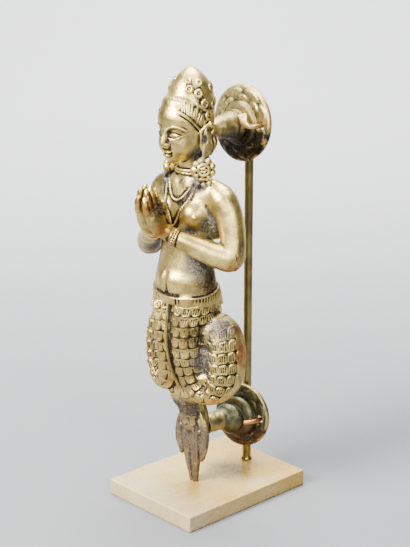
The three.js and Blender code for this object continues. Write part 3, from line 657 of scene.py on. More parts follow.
def belt(body):
    rows = stations(TORSO, 160)
    part, x, y, z = body.window((-27, -38, BELT_Z - 7), (27, 3, BELT_Z + 12))
    at = lambda k: np.interp(z, rows[:, 0], rows[:, k]).astype(np.float32)
    cy, a, b = at(1), at(2), at(3)
    side = oval(x, y - cy, a, b)
    angle = np.arctan2((y - cy) / b, x / a)
    v = z - (BELT_Z + BELT_TILT * np.sin(angle))
    f = v / BELT_HEIGHT
    rolls = 0.5 * np.exp(-((f - 0.92) / 0.08) ** 2)
    ribs = 0.5 + 0.5 * np.cos(angle * 19.4 * 2 * math.pi / 2.1)
    inner = ease(f, 0.02, 0.1) * (1 - ease(f, 0.74, 0.84))
    plain = 1 - ease(np.abs(angle + math.pi / 2), 0.22, 0.28)
    out = 1.0 + rolls + inner * (1.15 * ribs - 0.55) * (1 - plain) + 0.3 * plain * inner
    d = np.maximum(side - out, np.abs(v - BELT_HEIGHT / 2) - BELT_HEIGHT / 2)
    body.add(part, d, 0.5)


def tail(body):
    """The scaled tail in two stretches of one sweep, so that its tip can lie beside its hip."""
    rows = stations(TAIL, TAIL_STEPS + 1)
    gone = lengths(rows[:, :3])

    def scales(first, last):
        def relief(along, angle, arc):
            s = along + gone[first]
            ends = ease(s, gone[first], gone[first] + (0.6 if first == 0 else 4))
            if last < TAIL_STEPS:
                ends = ends * (1 - ease(s, gone[last] - 4, gone[last] - 0.5))
            hem = 2.6 * np.sin(angle)
            lean = -hem * (1 - ease(s, 25, 50))
            deep = 0.9 - 0.5 * ease(s, 9, 14) + 0.4 * ease(s, 60, 72)
            pads = tab_relief(arc, s + lean, SCALE_WIDTH, SCALE_PITCH, 0.0, 1.12, 4, 0.12, deep)
            # The worn rim: under the bottom of the coil, then up its outer back edge
            edge = math.radians(118) + math.radians(68) * ease(s, 60, 86)
            worn = ease(angle, edge - 0.1, edge + 0.12) * ease(s, 46, 56)
            worn = np.maximum(worn, ease(s, gone[-1] - 6, gone[-1] - 2))
            return ends * (pads * (1 - worn) + 0.75 * worn) * ease(s, hem - 0.2, hem + 0.5)
        return relief

    for first, last in ((0, COLUMN_END), (COIL_START, TAIL_STEPS)):
        body.tube([list(row) for row in rows[first:last + 1]], last - first, 0.8, scales(first, last))
    for centre, half in DISHES:
        body.ball(centre, half, 3.0)
    # The rolled rim that starts at the seam and runs round the coil
    path = rows[COIL_START - 6:TAIL_STEPS - 4]
    along, face, side = path_axes(path[:, :3])
    turned = ease(np.linspace(0, 1, len(path)), 0.25, 0.75)
    turn = np.radians(RIM_START + (RIM_END - RIM_START) * turned)[:, None]
    edge = path[:, :3] + 0.95 * (np.cos(turn) * path[:, 3:4] * side + np.sin(turn) * path[:, 4:5] * face)
    grown = 0.8 + 0.7 * np.sin(math.pi * np.linspace(0, 1, len(edge))) ** 0.6
    body.tube([[*p, r] for p, r in zip(edge, grown)], len(edge) - 1, 0.9)


def seam(body):
    """A narrow ridge on a low bank that fills the furrow between the tails."""
    body.tube([[x, y - d + 7.9, z, 3.8, 6.0] for x, y, z, w, d in SEAM[:5]], 20, 0.6)
    body.tube([[x, y, z, 1.15, d] for x, y, z, w, d in SEAM], 24, 0.25)


def fins(body):
    def leaf(along, angle, arc):
        """A leaf with a raised edge on both sides and slanting veins between."""
        edges = np.exp(-((np.abs(arc) - 3.2) / 0.8) ** 2)
        inner = 1 - ease(np.abs(arc), 2.2, 3.0)
        veins = np.cos(2 * math.pi * (along - 1.3 * np.abs(arc)) / 2.6)
        rib = np.exp(-(arc / 0.5) ** 2)
        return 0.45 * edges + inner * (0.14 * veins - 0.1) + 0.2 * rib
    body.tube([[x, y, z, w - 0.2, d - 0.4] for x, y, z, w, d in OUTER_FIN], 22, 0.4, leaf)
    # Dark furrows part the middle leaf from the outer ones
    body.cord([[6.4, -16.6, 55], [7.2, -17.2, 46], [7.0, -17.2, 36], [5.8, -16.4, 27]], 1.2, 0.7, cut=True)
    body.tube([[x - 0.2, y - 0.5, z, w - 0.4, d - 0.3] for x, y, z, w, d in INNER_FIN], 26, 0.3, leaf)
    body.ball((7.6, -13.2, 46.4), (2.6, 2.6, 2.7), 0.4)
    body.ball((8.6, -15.0, 47.0), (1.4, 1.4, 1.5), 0.3)


def ankle_scales(along, angle, arc):
    return tab_relief(arc, along, 6.4, 7.4, -0.2, 0.7, 3, 0.5, 0.3)


def sockets(body):
    for spec in (UPPER_ROSETTE, LOWER_ROSETTE):
        start, radius = spec["profile"][0]
        wide = radius + CONTACT_GAP + 0.1
        z0 = spec["stalk_z"]
        part, x, y, z = body.window((-wide - 2, start - 3, z0 - wide - 2), (wide + 2, 10, z0 + wide + 2))
        d = np.maximum(np.sqrt(x ** 2 + (z - z0) ** 2) - wide, start - CONTACT_GAP - y)
        body.data[part] = np.maximum(body.data[part], -d)


def dress(side, earring_height, earring_radius):
    """What lies over the arms and the ankle on one side."""
    jewellery(side)
    earrings(side, earring_height, earring_radius)
    hands(side)
    fins(side)


def figure_field():
    half = Field((0, *FIELD_LOW), FIELD_HIGH, VOXEL)
    for build in (torso, breasts, head, crown, face, hair, ringlets, ears, tail, seam, belt):
        build(half)
    middle = half.count[0] - 1
    whole = Field((-VOXEL * middle, *FIELD_LOW), FIELD_HIGH, VOXEL)
    whole.data = np.concatenate([half.data[:0:-1], half.data], axis=0)
    whole.count = np.array(whole.data.shape)
    whole.axes[0] = (VOXEL * np.arange(-middle, middle + 1)).astype(np.float32)
    whole.low[0] = -VOXEL * middle
    arms(whole)
    whole.tube(ANKLE, 18, 1.4, ankle_scales)
    whole.tube(COLLAR, 12, 1.0)
    half.data = whole.data[middle:].copy()
    dress(half, *NEAR_EARRING)
    right = Field((0, *FIELD_LOW), FIELD_HIGH, VOXEL)
    right.data = whole.data[middle::-1].copy()
    dress(right, *FAR_EARRING)
    whole.data = np.concatenate([right.data[:0:-1], half.data], axis=0)
    sockets(whole)
    return whole


def belt_plane(y):
    return BELT_Z - 0.2 + BELT_TILT * (y + 17.6) / 16.3


def polygons(data, low, voxel):
    grid = openvdb.FloatGrid(FAR)
    grid.copyFromArray(np.ascontiguousarray(data))
    points, triangles, quads = grid.convertToPolygons(0.0, 0.0)
    return np.array(points) * voxel + low, triangles, quads


def placed(name, data):
    made = bpy.data.objects.new(name, data)
    bpy.context.scene.collection.objects.link(made)
    return made


def mesh_object(name, points, faces):
    mesh = bpy.data.meshes.new(name)
    mesh.from_pydata(np.asarray(points), [], np.asarray(faces))
    mesh.validate()
    return placed(name, mesh)


def apply_modifiers(made):
    graph = bpy.context.evaluated_depsgraph_get()
    mesh = bpy.data.meshes.new_from_object(made.evaluated_get(graph))
    made.modifiers.clear()
    made.data = mesh


def smooth_shaded(made):
    made.data.polygons.foreach_set("use_smooth", np.ones(len(made.data.polygons), bool))
    made.data.update()


def thinned(made, most):
    """Fewer triangles where the surface is calm."""
    count = sum(len(p.vertices) - 2 for p in made.data.polygons)
    if count > most:
        modifier = made.modifiers.new("Thin", "DECIMATE")
        modifier.ratio = most / count
        apply_modifiers(made)
    smooth_shaded(made)


def box_blur(data, reach):
    """Two passes of a running mean along each axis."""
    for axis in range(3):
        margins = [(reach + 1, reach) if k == axis else (0, 0) for k in range(3)]
        for _ in range(2):
            padded = np.pad(data, margins, mode="edge")
            total = np.cumsum(padded, axis=axis, dtype=np.float64)
            size = data.shape[axis]
            upper = np.take(total, range(2 * reach + 1, 2 * reach + 1 + size), axis=axis)
            lower = np.take(total, range(0, size), axis=axis)
            data = ((upper - lower) / (2 * reach + 1)).astype(np.float32)
    return data


def sampled(data, low, step, points):
    place = np.clip((points - low) / step, 0, np.array(data.shape) - 1.001)
    base = place.astype(int)
    f = place - base
    total = np.zeros(len(points))
    for corner in range(8):
        pick = [(corner >> k) & 1 for k in range(3)]
        weight = np.prod([np.where(pick[k], f[:, k], 1 - f[:, k]) for k in range(3)], axis=0)
        total += weight * data[base[:, 0] + pick[0], base[:, 1] + pick[1], base[:, 2] + pick[2]]
    return total


def vertex_facts(made):
    mesh = made.data
    points, normals = (np.empty(len(mesh.vertices) * 3) for _ in range(2))
    mesh.vertices.foreach_get("co", points)
    mesh.vertices.foreach_get("normal", normals)
    edges = np.empty(len(mesh.edges) * 2, int)
    mesh.edges.foreach_get("vertices", edges)
    return points.reshape(-1, 3), normals.reshape(-1, 3), edges.reshape(-1, 2)


def spread(values, edges, rounds):
    """Values averaged with their neighbours."""
    count = np.bincount(edges.ravel(), minlength=len(values)) + 1.0
    for _ in range(rounds):
        total = values.copy()
        total += np.bincount(edges[:, 0], values[edges[:, 1]], len(values))
        total += np.bincount(edges[:, 1], values[edges[:, 0]], len(values))
        values = total / count
    return values


def hollowness(made):
    """How far each vertex lies below its neighbours, along its normal, in millimetres."""
    points, normals, edges = vertex_facts(made)
    smooth = np.stack([spread(points[:, k], edges, 6) for k in range(3)], axis=1)
    sunk = np.sum((smooth - points) * normals, axis=1) / MM
    return spread(sunk, edges, 2)


def write_attribute(made, name, values):
    layer = made.data.attributes.new(name, "FLOAT", "POINT")
    layer.data.foreach_set("value", np.asarray(values, np.float32))


def shelter(field):
    """A blurred picture of where metal is, for painted shade and grey deposit in sheltered places."""
    keep = 4 if VOXEL < 0.6 else 2
    coarse = (field.data[::keep, ::keep, ::keep] < 0).astype(np.float32)
    return box_blur(coarse, 2), keep * field.voxel


def figure_pieces():
    field = figure_field()
    blurred, step = shelter(field)
    y = field.axes[1][None, :, None]
    z = field.axes[2][None, None, :]
    plane = z - belt_plane(y)
    made = []
    for name, side in (("figure_upper", -plane), ("figure_tails", plane)):
        data = np.clip(np.maximum(field.data, side), -FAR, FAR)
        points, triangles, quads = polygons(data, field.low, field.voxel)
        faces = np.concatenate([quads[:, [0, 1, 2]], quads[:, [0, 2, 3]]]) if len(quads) else triangles
        if len(triangles) and len(quads):
            faces = np.concatenate([faces, triangles])
        piece = mesh_object(name, points * MM, faces)
        thinned(piece, MOST_TRIANGLES)
        points, normals, edges = vertex_facts(piece)
        near = sampled(blurred, field.low, step, points / MM + normals * 1.6)
        wide = sampled(blurred, field.low, step, points / MM + normals * 4.0)
        write_attribute(piece, "shelter", near + wide)
        write_attribute(piece, "hollow", hollowness(piece))
        made.append(piece)
    return made


# Rosettes

def petal_relief(r, angle, radius):
    """Two layers of overlapping lotus petals, with soft folds."""
    total = np.zeros_like(angle)
    for layer, (inner, outer, height) in enumerate(((0.40, 0.78, 1.0), (0.52, 0.955, 0.72))):
        turn = angle * PETALS / (2 * math.pi) + 0.5 * layer
        u = 2 * np.abs(turn - np.round(turn))
        f = r / radius
        tip = outer * (1 - 0.12 * u * u)
        swell = (1 - u ** 2.6) * (0.55 + 0.45 * ease(f, inner, tip))
        crease = 0.16 * np.exp(-(u / 0.1) ** 2)
        edge = 1 - ease(f, tip - 0.05, tip + 0.01)
        total = np.maximum(total, height * (swell - crease) * ease(f, inner, inner + 0.12) * edge)
    return total


def densified(outline, longest=0.45):
    """A profile with points added until no step is long."""
    outline = np.array(outline, float)
    dense = [outline[0]]
    for a, b in zip(outline[:-1], outline[1:]):
        pieces = max(int(np.linalg.norm(b - a) / longest), 1)
        dense += [a + (b - a) * (k + 1) / pieces for k in range(pieces)]
    return np.array(dense)


def rosette(name, spec):
    """Lathe-turned lotus seen from its stalk side; the disc leans against the stalk."""
    cx, back, cz = spec["centre"]
    radius = spec["radius"]
    rows = [[spec["profile"][0][0], 0.02], *spec["profile"]]
    front = [[back - 3.3 + 0.25 * k / 8, 0.6 * radius + (0.36 * radius) * k / 8] for k in range(9)]
    outline = list(stations(rows[1:], 90)) + list(stations([rows[-1], front[0]], 6))[1:]
    outline += [[y, r] for y, r in front[1:]]
    outline += [[back - 2.8, 0.975 * radius], [back - 2.2, radius * 0.995], [back - 1.1, radius],
                [back - 0.35, radius * 0.99], [back - 0.05, 0.965 * radius]]
    seen = densified([[spec["profile"][0][0], 0.02]] + [list(p) for p in outline])
    hidden = densified([[back - 0.05, 0.965 * radius], [back - 0.05, 0.95 * radius], [back - 0.05, 0.02]])
    hidden[:, 0] -= 0.9 * np.sin(math.pi * np.clip(hidden[:, 1] / (0.95 * radius), 0, 1)) ** 2
    dense = np.concatenate([seen, hidden[1:]])
    sides = 200
    angles = np.arange(sides) * 2 * math.pi / sides
    y, r, turn = np.broadcast_arrays(dense[:, :1], dense[:, 1:], angles[None])
    facing = np.arange(len(dense)) < len(seen)
    on_disc = (y > back - 3.6) & facing[:, None]
    y = y - on_disc * petal_relief(r, turn, radius) * 1.15
    behind = (~facing)[:, None] & (r < 0.93 * radius)
    y = y - behind * (0.35 - 0.5 * petal_relief(r, turn, radius)) * (r > 0.3 * radius)
    share = ease(y, LEAN_START, back - 8)
    lean_x, lean_z = math.tan(math.radians(spec["yaw"])), math.tan(math.radians(spec["pitch"]))
    wave = 1 + 0.006 * np.sin(3 * turn + 1) * ease(r, 0.5 * radius, radius)
    x, z = r * wave * np.cos(turn), r * wave * np.sin(turn)
    points = np.stack([x + share * cx, y + share * (lean_x * x + lean_z * z),
                       z + spec["stalk_z"] + share * (cz - spec["stalk_z"])], axis=-1).reshape(-1, 3)
    made = ringed(name, points, sides, True)
    punch(made, spec)
    smooth_shaded(made)
    return made


def ringed(name, points, sides, reverse):
    """A closed body of rings of points, with flat ends."""
    rings = len(points) // sides
    i, j = np.meshgrid(np.arange(rings - 1), np.arange(sides), indexing="ij")
    a = i * sides + j
    b = i * sides + (j + 1) % sides
    corners = [a, a + sides, b + sides, b] if reverse else [a, b, b + sides, a + sides]
    made = mesh_object(name, points * MM, np.stack(corners, axis=-1).reshape(-1, 4))
    close_ends(made, sides, rings, reverse)
    return made


def close_ends(made, sides, rings, first_forward):
    """Flat faces over the first and the last ring, facing out."""
    work = bmesh.new()
    work.from_mesh(made.data)
    work.verts.ensure_lookup_table()
    for start, forward in ((0, first_forward), ((rings - 1) * sides, not first_forward)):
        loop = [work.verts[start + j] for j in range(sides)]
        work.faces.new(loop if forward else loop[::-1])
    work.to_mesh(made.data)
    work.free()


def side_hole(spec):
    return spec["centre"][0] + SIDE_HOLE_OUT * spec["radius"], spec["centre"][2] + 1.0


def punch(made, spec):
    """The hole at the side of the disc that its hook goes through."""
    x, z = side_hole(spec)
    place = Matrix.Translation(Vector((x, spec["centre"][1], z)) * MM)
    work = bmesh.new()
    bmesh.ops.create_cone(work, cap_ends=True, segments=40, radius1=SIDE_HOLE_RADIUS * MM,
                          radius2=SIDE_HOLE_RADIUS * 0.96 * MM, depth=18 * MM,
                          matrix=place @ Matrix.Rotation(math.pi / 2, 4, "X"))
    drill = bpy.data.meshes.new("drill")
    work.to_mesh(drill)
    work.free()
    tool = placed("drill", drill)
    modifier = made.modifiers.new("Punch", "BOOLEAN")
    modifier.object = tool
    modifier.operation = "DIFFERENCE"
    modifier.solver = "MANIFOLD"
    apply_modifiers(made)
    bpy.data.objects.remove(tool)
    bpy.data.meshes.remove(drill)


# Rod, hooks and plate

def swept(name, path, thick, wide, sides):
    """A wire along a path, with its own half thickness and half width at each point."""
    path = np.array(path, float)
    along = unit(np.gradient(path, axis=0))
    frame_up = np.cross(along[0], (0.0, 0.0, 1.0))
    if np.linalg.norm(frame_up) < 0.1:
        frame_up = np.cross(along[0], (1.0, 0.0, 0.0))
    rings = []
    for k, p in enumerate(path):
        frame_up = frame_up - (frame_up @ along[k]) * along[k]
        frame_up /= np.linalg.norm(frame_up)
        side = np.cross(along[k], frame_up)
        for j in range(sides):
            angle = 2 * math.pi * j / sides
            rings.append(p + thick[k] * math.cos(angle) * frame_up + wide[k] * math.sin(angle) * side)
    made = ringed(name, np.array(rings), sides, False)
    smooth_shaded(made)
    return made


def hook(name, spec, reach):
    x, z = side_hole(spec)
    route = [
        [ROD_RADIUS + CONTACT_GAP + HOOK_RADIUS + 0.1, ROD_Y + 0.4, z, 1, 1],
        [x - 6, ROD_Y + 0.6, z, 1, 1],
        [x - 0.6, ROD_Y - 1.6, z, 1, 1],
        [x + 0.4, spec["centre"][1] - 1, z, 1, 1],
        *[[x + dx, y, z + dz, wide, thick] for dx, y, dz, wide, thick in reach],
    ]
    rows = stations(route, 90)
    f = np.linspace(0, 1, 90)
    end = np.sqrt(np.clip(1 - ((f - 0.5) / 0.503) ** 24, 0.02, 1)) * (1 + 0.03 * np.sin(23 * f))
    return swept(name, rows[:, :3], HOOK_RADIUS * rows[:, 4] * end, HOOK_RADIUS * rows[:, 3] * end, 28)


def rod():
    profile = [(0.02, ROD_BOTTOM), (ROD_RADIUS, ROD_BOTTOM), (ROD_RADIUS, 10.3), (ROD_FOOT_RADIUS, 10.35),
               (ROD_FOOT_RADIUS * 0.97, 10.9), (ROD_RADIUS + 0.3, 11.5), (ROD_RADIUS, 12.1)]
    profile += [(ROD_RADIUS * (1 + 0.004 * math.sin(z * 0.9)), z) for z in np.arange(13, ROD_TOP - 1, 1.5)]
    profile += [(ROD_RADIUS, ROD_TOP - 0.7), (ROD_RADIUS - 0.2, ROD_TOP - 0.25),
                (ROD_RADIUS - 0.6, ROD_TOP), (0.02, ROD_TOP)]
    sides = 48
    points = [(r * math.cos(2 * math.pi * j / sides), ROD_Y + r * math.sin(2 * math.pi * j / sides), z)
              for r, z in profile for j in range(sides)]
    made = ringed("rod_detail", np.array(points), sides, False)
    smooth_shaded(made)
    return made


def plate():
    """A saw-cut slab with softened edges."""
    work = bmesh.new()
    w, d, t = (v * MM for v in PLATE)
    slab = Matrix.Translation((0, 0, t / 2)) @ Matrix.Diagonal((w, d, t, 1))
    bmesh.ops.create_cube(work, size=1.0, matrix=slab)
    bmesh.ops.bevel(work, geom=list(work.edges), offset=PLATE_EDGE * MM, segments=4, profile=0.5,
                    affect="EDGES")
    long_edges = [e for e in work.edges if e.calc_length() > 0.004]
    bmesh.ops.subdivide_edges(work, edges=long_edges, cuts=40, use_grid_fill=True)
    mesh = bpy.data.meshes.new("base_plate_detail")
    work.to_mesh(mesh)
    work.free()
    made = placed("base_plate_detail", mesh)
    smooth_shaded(made)
    return made


# Materials

class Shader:
    """A Principled material with the nodes it needs."""

    def __init__(self, name):
        self.material = bpy.data.materials.new(name)
        self.material.use_nodes = True
        self.nodes = self.material.node_tree.nodes
        self.links = self.material.node_tree.links
        self.main = self.nodes["Principled BSDF"]
        self.place = self.nodes.new("ShaderNodeTexCoord").outputs["Object"]

    def link(self, source, target):
        self.links.new(source, target)

    def value(self, socket, source):
        if isinstance(source, (int, float)):
            socket.default_value = source
        else:
            self.link(source, socket)

    def noise(self, scale, detail, roughness, stretch=None):
        node = self.nodes.new("ShaderNodeTexNoise")
        node.inputs["Scale"].default_value = scale
        node.inputs["Detail"].default_value = detail
        node.inputs["Roughness"].default_value = roughness
        source = self.place
        if stretch:
            mapping = self.nodes.new("ShaderNodeMapping")
            mapping.inputs["Scale"].default_value = stretch
            self.link(self.place, mapping.inputs["Vector"])
            source = mapping.outputs["Vector"]
        self.link(source, node.inputs["Vector"])
        return node.outputs["Fac"]

    def attribute(self, name):
        node = self.nodes.new("ShaderNodeAttribute")
        node.attribute_name = name
        return node.outputs["Fac"]

    def math(self, operation, a, b=0.0, clamp=False):
        node = self.nodes.new("ShaderNodeMath")
        node.operation = operation
        node.use_clamp = clamp
        self.value(node.inputs[0], a)
        self.value(node.inputs[1], b)
        return node.outputs[0]

    def times(self, a, b, clamp=False):
        return self.math("MULTIPLY", a, b, clamp)

    def plus(self, a, b, clamp=False):
        return self.math("ADD", a, b, clamp)

    def most(self, a, b):
        return self.math("MAXIMUM", a, b)

    def distance(self, source, point):
        """Distance from a point that is given in millimetres."""
        node = self.nodes.new("ShaderNodeVectorMath")
        node.operation = "DISTANCE"
        self.link(source, node.inputs[0])
        node.inputs[1].default_value = [v * MM for v in point]
        return node.outputs["Value"]

    def range(self, source, low, high, to_low=0.0, to_high=1.0):
        node = self.nodes.new("ShaderNodeMapRange")
        node.interpolation_type = "SMOOTHSTEP"
        self.link(source, node.inputs["Value"])
        for key, value in (("From Min", low), ("From Max", high), ("To Min", to_low), ("To Max", to_high)):
            node.inputs[key].default_value = value
        return node.outputs["Result"]

    def mix(self, factor, a, b):
        node = self.nodes.new("ShaderNodeMix")
        node.data_type = "RGBA"
        self.value(node.inputs["Factor"], factor)
        for socket, source in ((node.inputs[6], a), (node.inputs[7], b)):
            if isinstance(source, tuple):
                socket.default_value = (*source, 1.0)
            else:
                self.link(source, socket)
        return node.outputs[2]

    def part(self, axis):
        if not hasattr(self, "split"):
            self.split = self.nodes.new("ShaderNodeSeparateXYZ")
            self.link(self.place, self.split.inputs[0])
        return self.split.outputs[axis]

    def patches(self, places):
        """Soft round areas about points in millimetres, the same on both sides of the figure."""
        if not hasattr(self, "both"):
            joined = self.nodes.new("ShaderNodeCombineXYZ")
            self.link(self.math("ABSOLUTE", self.part("X")), joined.inputs[0])
            self.link(self.part("Y"), joined.inputs[1])
            self.link(self.part("Z"), joined.inputs[2])
            self.both = joined.outputs[0]
        total = None
        for point, inner, outer in places:
            area = self.range(self.distance(self.both, point), inner * MM, outer * MM, 1.0, 0.0)
            total = area if total is None else self.most(total, area)
        return total

    def bump(self, height, strength, distance):
        node = self.nodes.new("ShaderNodeBump")
        node.inputs["Strength"].default_value = strength
        node.inputs["Distance"].default_value = distance
        self.link(height, node.inputs["Height"])
        self.link(node.outputs["Normal"], self.main.inputs["Normal"])

    def finish(self, colour, roughness, metallic):
        self.link(colour, self.main.inputs["Base Color"])
        self.link(roughness, self.main.inputs["Roughness"])
        self.value(self.main.inputs["Metallic"], metallic)
        return self.material


BRASS_LIGHT = (0.79, 0.63, 0.25)
BRASS_DEEP = (0.43, 0.32, 0.12)
BRASS_DARK = (0.040, 0.031, 0.029)
GREY_DEPOSIT = (0.34, 0.325, 0.285)
COPPER_RED = (0.48, 0.21, 0.06)
PURPLE_BROWN = (0.085, 0.055, 0.05)
FOOT_TONE = (0.125, 0.092, 0.062)

# Where the age marks and the painted shade are, in millimetres: place, full to, gone at
# Grey-white crust, with dark patina and painted shade under it
CRUST_AND_SHADE_PLACES = [((17, -20, 100), 5, 13), ((17.5, -24, 161), 5, 14), ((21, -18, 185), 4, 11),
            ((13, -27, 178), 3, 9), ((11, -18, 225), 3, 9), ((15.6, -18, 236), 1, 5),
            ((26, -14, 119), 4, 13), ((13, -20, 208), 3, 8)]
# Painted shade, where shade falls on the body and tails
SHADED = [((23, -15, 182), 3, 11), ((6, -46, 197), 3, 9), ((20, -20, 152), 4, 16), ((6, -20, 61), 3, 9),
          ((16, -24, 116), 4, 15), ((13, -27, 176), 3, 10), ((12, -16, 223), 3, 9)]
RUBBED = [((35, -3, 104), 4, 13), ((33, -6, 116), 2, 8), ((38, -15, 163), 3, 9), ((6, -52, 202), 3, 9),
          ((7, -43, 184), 2, 8), ((24, -16, 76), 2, 9)]
FOOT_BROWN = [((4, -14, 26), 18, 36), ((10, -13, 42), 8, 15), ((37, -16, 153), 4, 11),
              ((0, -21, 61), 6, 14)]


def figure_brass():
    s = Shader("aged_brass")
    broad = s.noise(38, 3, 0.5)
    mottle = s.noise(190, 5, 0.62)
    fine = s.noise(760, 6, 0.65)
    speck = s.noise(1500, 4, 0.7)
    colour = s.mix(s.range(broad, 0.40, 0.64), BRASS_LIGHT, BRASS_DEEP)
    # The tails are a shade deeper than the body
    colour = s.mix(s.range(s.part("Z"), 0.04, 0.15, 0.45, 0.0), colour, BRASS_DEEP)
    rubbed = s.times(s.patches(RUBBED), s.range(mottle, 0.32, 0.58))
    colour = s.mix(rubbed, colour, COPPER_RED)
    # Brown patina in blotches, thicker on the foot
    brown = s.times(s.range(mottle, 0.47, 0.66), 0.42)
    brown = s.most(brown, s.range(speck, 0.56, 0.66, 0.0, 0.6))
    colour = s.mix(brown, colour, PURPLE_BROWN)
    foot = s.times(s.patches(FOOT_BROWN), s.range(mottle, 0.28, 0.50, 0.45, 0.95))
    colour = s.mix(foot, colour, FOOT_TONE)
    grain = s.times(s.plus(fine, speck), 0.5)
    colour = s.mix(s.times(foot, s.range(grain, 0.50, 0.60, 0.0, 0.75)), colour, BRASS_DARK)
    # Dark patina in every furrow, partly painted shade there too, and painted shade where the metal is
    # sheltered
    hollow = s.attribute("hollow")
    sheltered = s.attribute("shelter")
    shade = s.times(s.patches(SHADED), s.range(fine, 0.30, 0.56, 0.25, 1.0))
    crust_and_shade = s.patches(CRUST_AND_SHADE_PLACES)
    dark_patina_and_shade = s.plus(s.range(hollow, 0.008, 0.075), s.times(s.range(sheltered, 0.80, 1.40), 0.8))
    dark_patina_and_shade = s.times(dark_patina_and_shade, s.range(fine, 0.25, 0.60, 0.55, 1.2), clamp=True)
    # Painted shade in the shaded patches, and dark patina with painted shade under the deposits
    dark_patina_and_shade = s.most(dark_patina_and_shade, s.times(s.most(shade, crust_and_shade), 0.9))
    colour = s.mix(dark_patina_and_shade, colour, BRASS_DARK)
    # Grey-white deposit
    pale = s.times(s.range(sheltered, 0.60, 0.95), s.range(fine, 0.50, 0.62, 0.0, 0.55))
    pale = s.most(pale, s.times(crust_and_shade, s.range(grain, 0.47, 0.59, 0.05, 0.75)))
    colour = s.mix(pale, colour, GREY_DEPOSIT)
    rough = s.range(fine, 0.25, 0.75, 0.27, 0.45)
    rough = s.plus(rough, s.times(s.most(dark_patina_and_shade, pale), 0.3), clamp=True)
    metallic = s.math("SUBTRACT", 0.97, s.times(s.most(pale, foot), 0.6), clamp=True)
    height = s.plus(s.times(fine, 0.7), s.times(speck, 0.3))
    height = s.plus(height, s.times(mottle, 0.25))
    s.bump(height, 0.26, 0.0007)
    return s.finish(colour, rough, metallic)


def rosette_material(name, spec, tones, low_shift, gloss):
    """A boss whose lower half is darker, with a worn brass rim."""
    light, deep, dark, worn = tones
    centre = spec["centre"]
    s = Shader(name)
    broad = s.noise(60, 4, 0.6)
    mottle = s.noise(200, 5, 0.65)
    fine = s.noise(600, 5, 0.62)
    colour = s.mix(s.range(mottle, 0.36, 0.62), light, deep)
    colour = s.mix(s.range(fine, 0.52, 0.68, 0.0, 0.55), colour, dark)
    low = s.plus(s.part("Z"), s.times(broad, 0.012))
    edge = centre[2] * MM + low_shift * MM + 0.006
    below = s.range(low, edge - 0.004, edge + 0.004, 1.0, 0.0)
    on_disc = s.range(s.part("Y"), 0.004, 0.014, 0.75, 1.0)
    below = s.times(below, on_disc)
    colour = s.mix(s.times(below, s.range(mottle, 0.3, 0.7, 1.0, 0.75)), colour, dark)
    hollow = s.attribute("hollow")
    colour = s.mix(s.times(s.range(hollow, 0.01, 0.09), 0.8), colour, BRASS_DARK)
    # Rubbed bright along the rim and on the highest folds
    reach = s.distance(s.place, (centre[0], centre[1] - 1.5, centre[2]))
    radius = spec["radius"] * MM
    rim = s.times(s.range(reach, 0.955 * radius, 0.985 * radius), s.range(mottle, 0.36, 0.56))
    rim = s.times(rim, s.math("SUBTRACT", 1.0, s.times(below, 0.7)))
    high = s.times(s.range(hollow, -0.16, -0.05, 0.7, 0.0), s.range(mottle, 0.4, 0.6))
    colour = s.mix(s.most(rim, high), colour, worn)
    rough = s.range(fine, 0.25, 0.75, 0.34, 0.56)
    rough = s.math("SUBTRACT", rough, s.times(below, gloss), clamp=True)
    s.bump(s.plus(fine, mottle), 0.35, 0.0006)
    return s.finish(colour, rough, 0.88)


def wire_material(name, light, deep):
    s = Shader(name)
    fine = s.noise(900, 5, 0.6, stretch=(1, 1, 0.06))
    broad = s.noise(70, 3, 0.5)
    colour = s.mix(s.range(broad, 0.35, 0.66), light, deep)
    colour = s.mix(s.range(fine, 0.55, 0.75, 0.0, 0.55), colour, BRASS_DARK)
    rough = s.range(fine, 0.25, 0.75, 0.24, 0.42)
    s.bump(fine, 0.15, 0.0004)
    return s.finish(colour, rough, 0.97)


def resin():
    s = Shader("yellowed_resin")
    cloud = s.noise(22, 5, 0.6)
    streak = s.noise(40, 6, 0.7, stretch=(1, 0.35, 1))
    fine = s.noise(300, 5, 0.6)
    speck = s.noise(900, 3, 0.7)
    colour = s.mix(s.range(cloud, 0.38, 0.66), (0.54, 0.42, 0.175), (0.48, 0.32, 0.085))
    # More yellow towards the rod, greyer towards the front
    colour = s.mix(s.range(s.part("Y"), -0.02, 0.04, 0.0, 0.5), colour, (0.48, 0.32, 0.085))
    colour = s.mix(s.range(s.part("Y"), -0.045, -0.015, 0.3, 0.0), colour, (0.50, 0.47, 0.40))
    # Milky haze, and dark crumbs about the foot of the rod
    colour = s.mix(s.range(streak, 0.50, 0.72, 0.0, 0.34), colour, (0.59, 0.52, 0.36))
    stain = s.patches([((0, 33, 10), 5, 19), ((0, 20, 10), 4, 24)])
    stained = s.times(stain, s.range(speck, 0.54, 0.62, 0.12, 0.7))
    colour = s.mix(stained, colour, (0.30, 0.19, 0.08))
    colour = s.mix(s.range(speck, 0.70, 0.76, 0.0, 0.3), colour, (0.45, 0.32, 0.18))
    rough = s.range(fine, 0.25, 0.75, 0.20, 0.40)
    s.bump(s.plus(fine, streak), 0.1, 0.0005)
    s.main.inputs["Transmission Weight"].default_value = 0.2
    s.main.inputs["IOR"].default_value = 1.49
    return s.finish(colour, rough, 0.0)


def stage_material(back):
    """Pale grey, with painted shade on the floor near the object, a far darker grey there than the wall
    behind it.
    """
    s = Shader("pale_backdrop")
    fine = s.noise(3, 3, 0.5)
    # Painted shade: the floor gets a much darker grey than the wall
    floor = s.mix(fine, (0.185, 0.188, 0.194), (0.205, 0.208, 0.214))
    depth = s.plus(s.times(s.part("X"), back[0]), s.times(s.part("Y"), back[1]))
    colour = s.mix(s.range(depth, 0.0, 1.1), floor, (0.48, 0.485, 0.495))
    rough = s.range(fine, 0, 1, 0.85, 0.95)
    return s.finish(colour, rough, 0.0)


# Stage, lights and camera

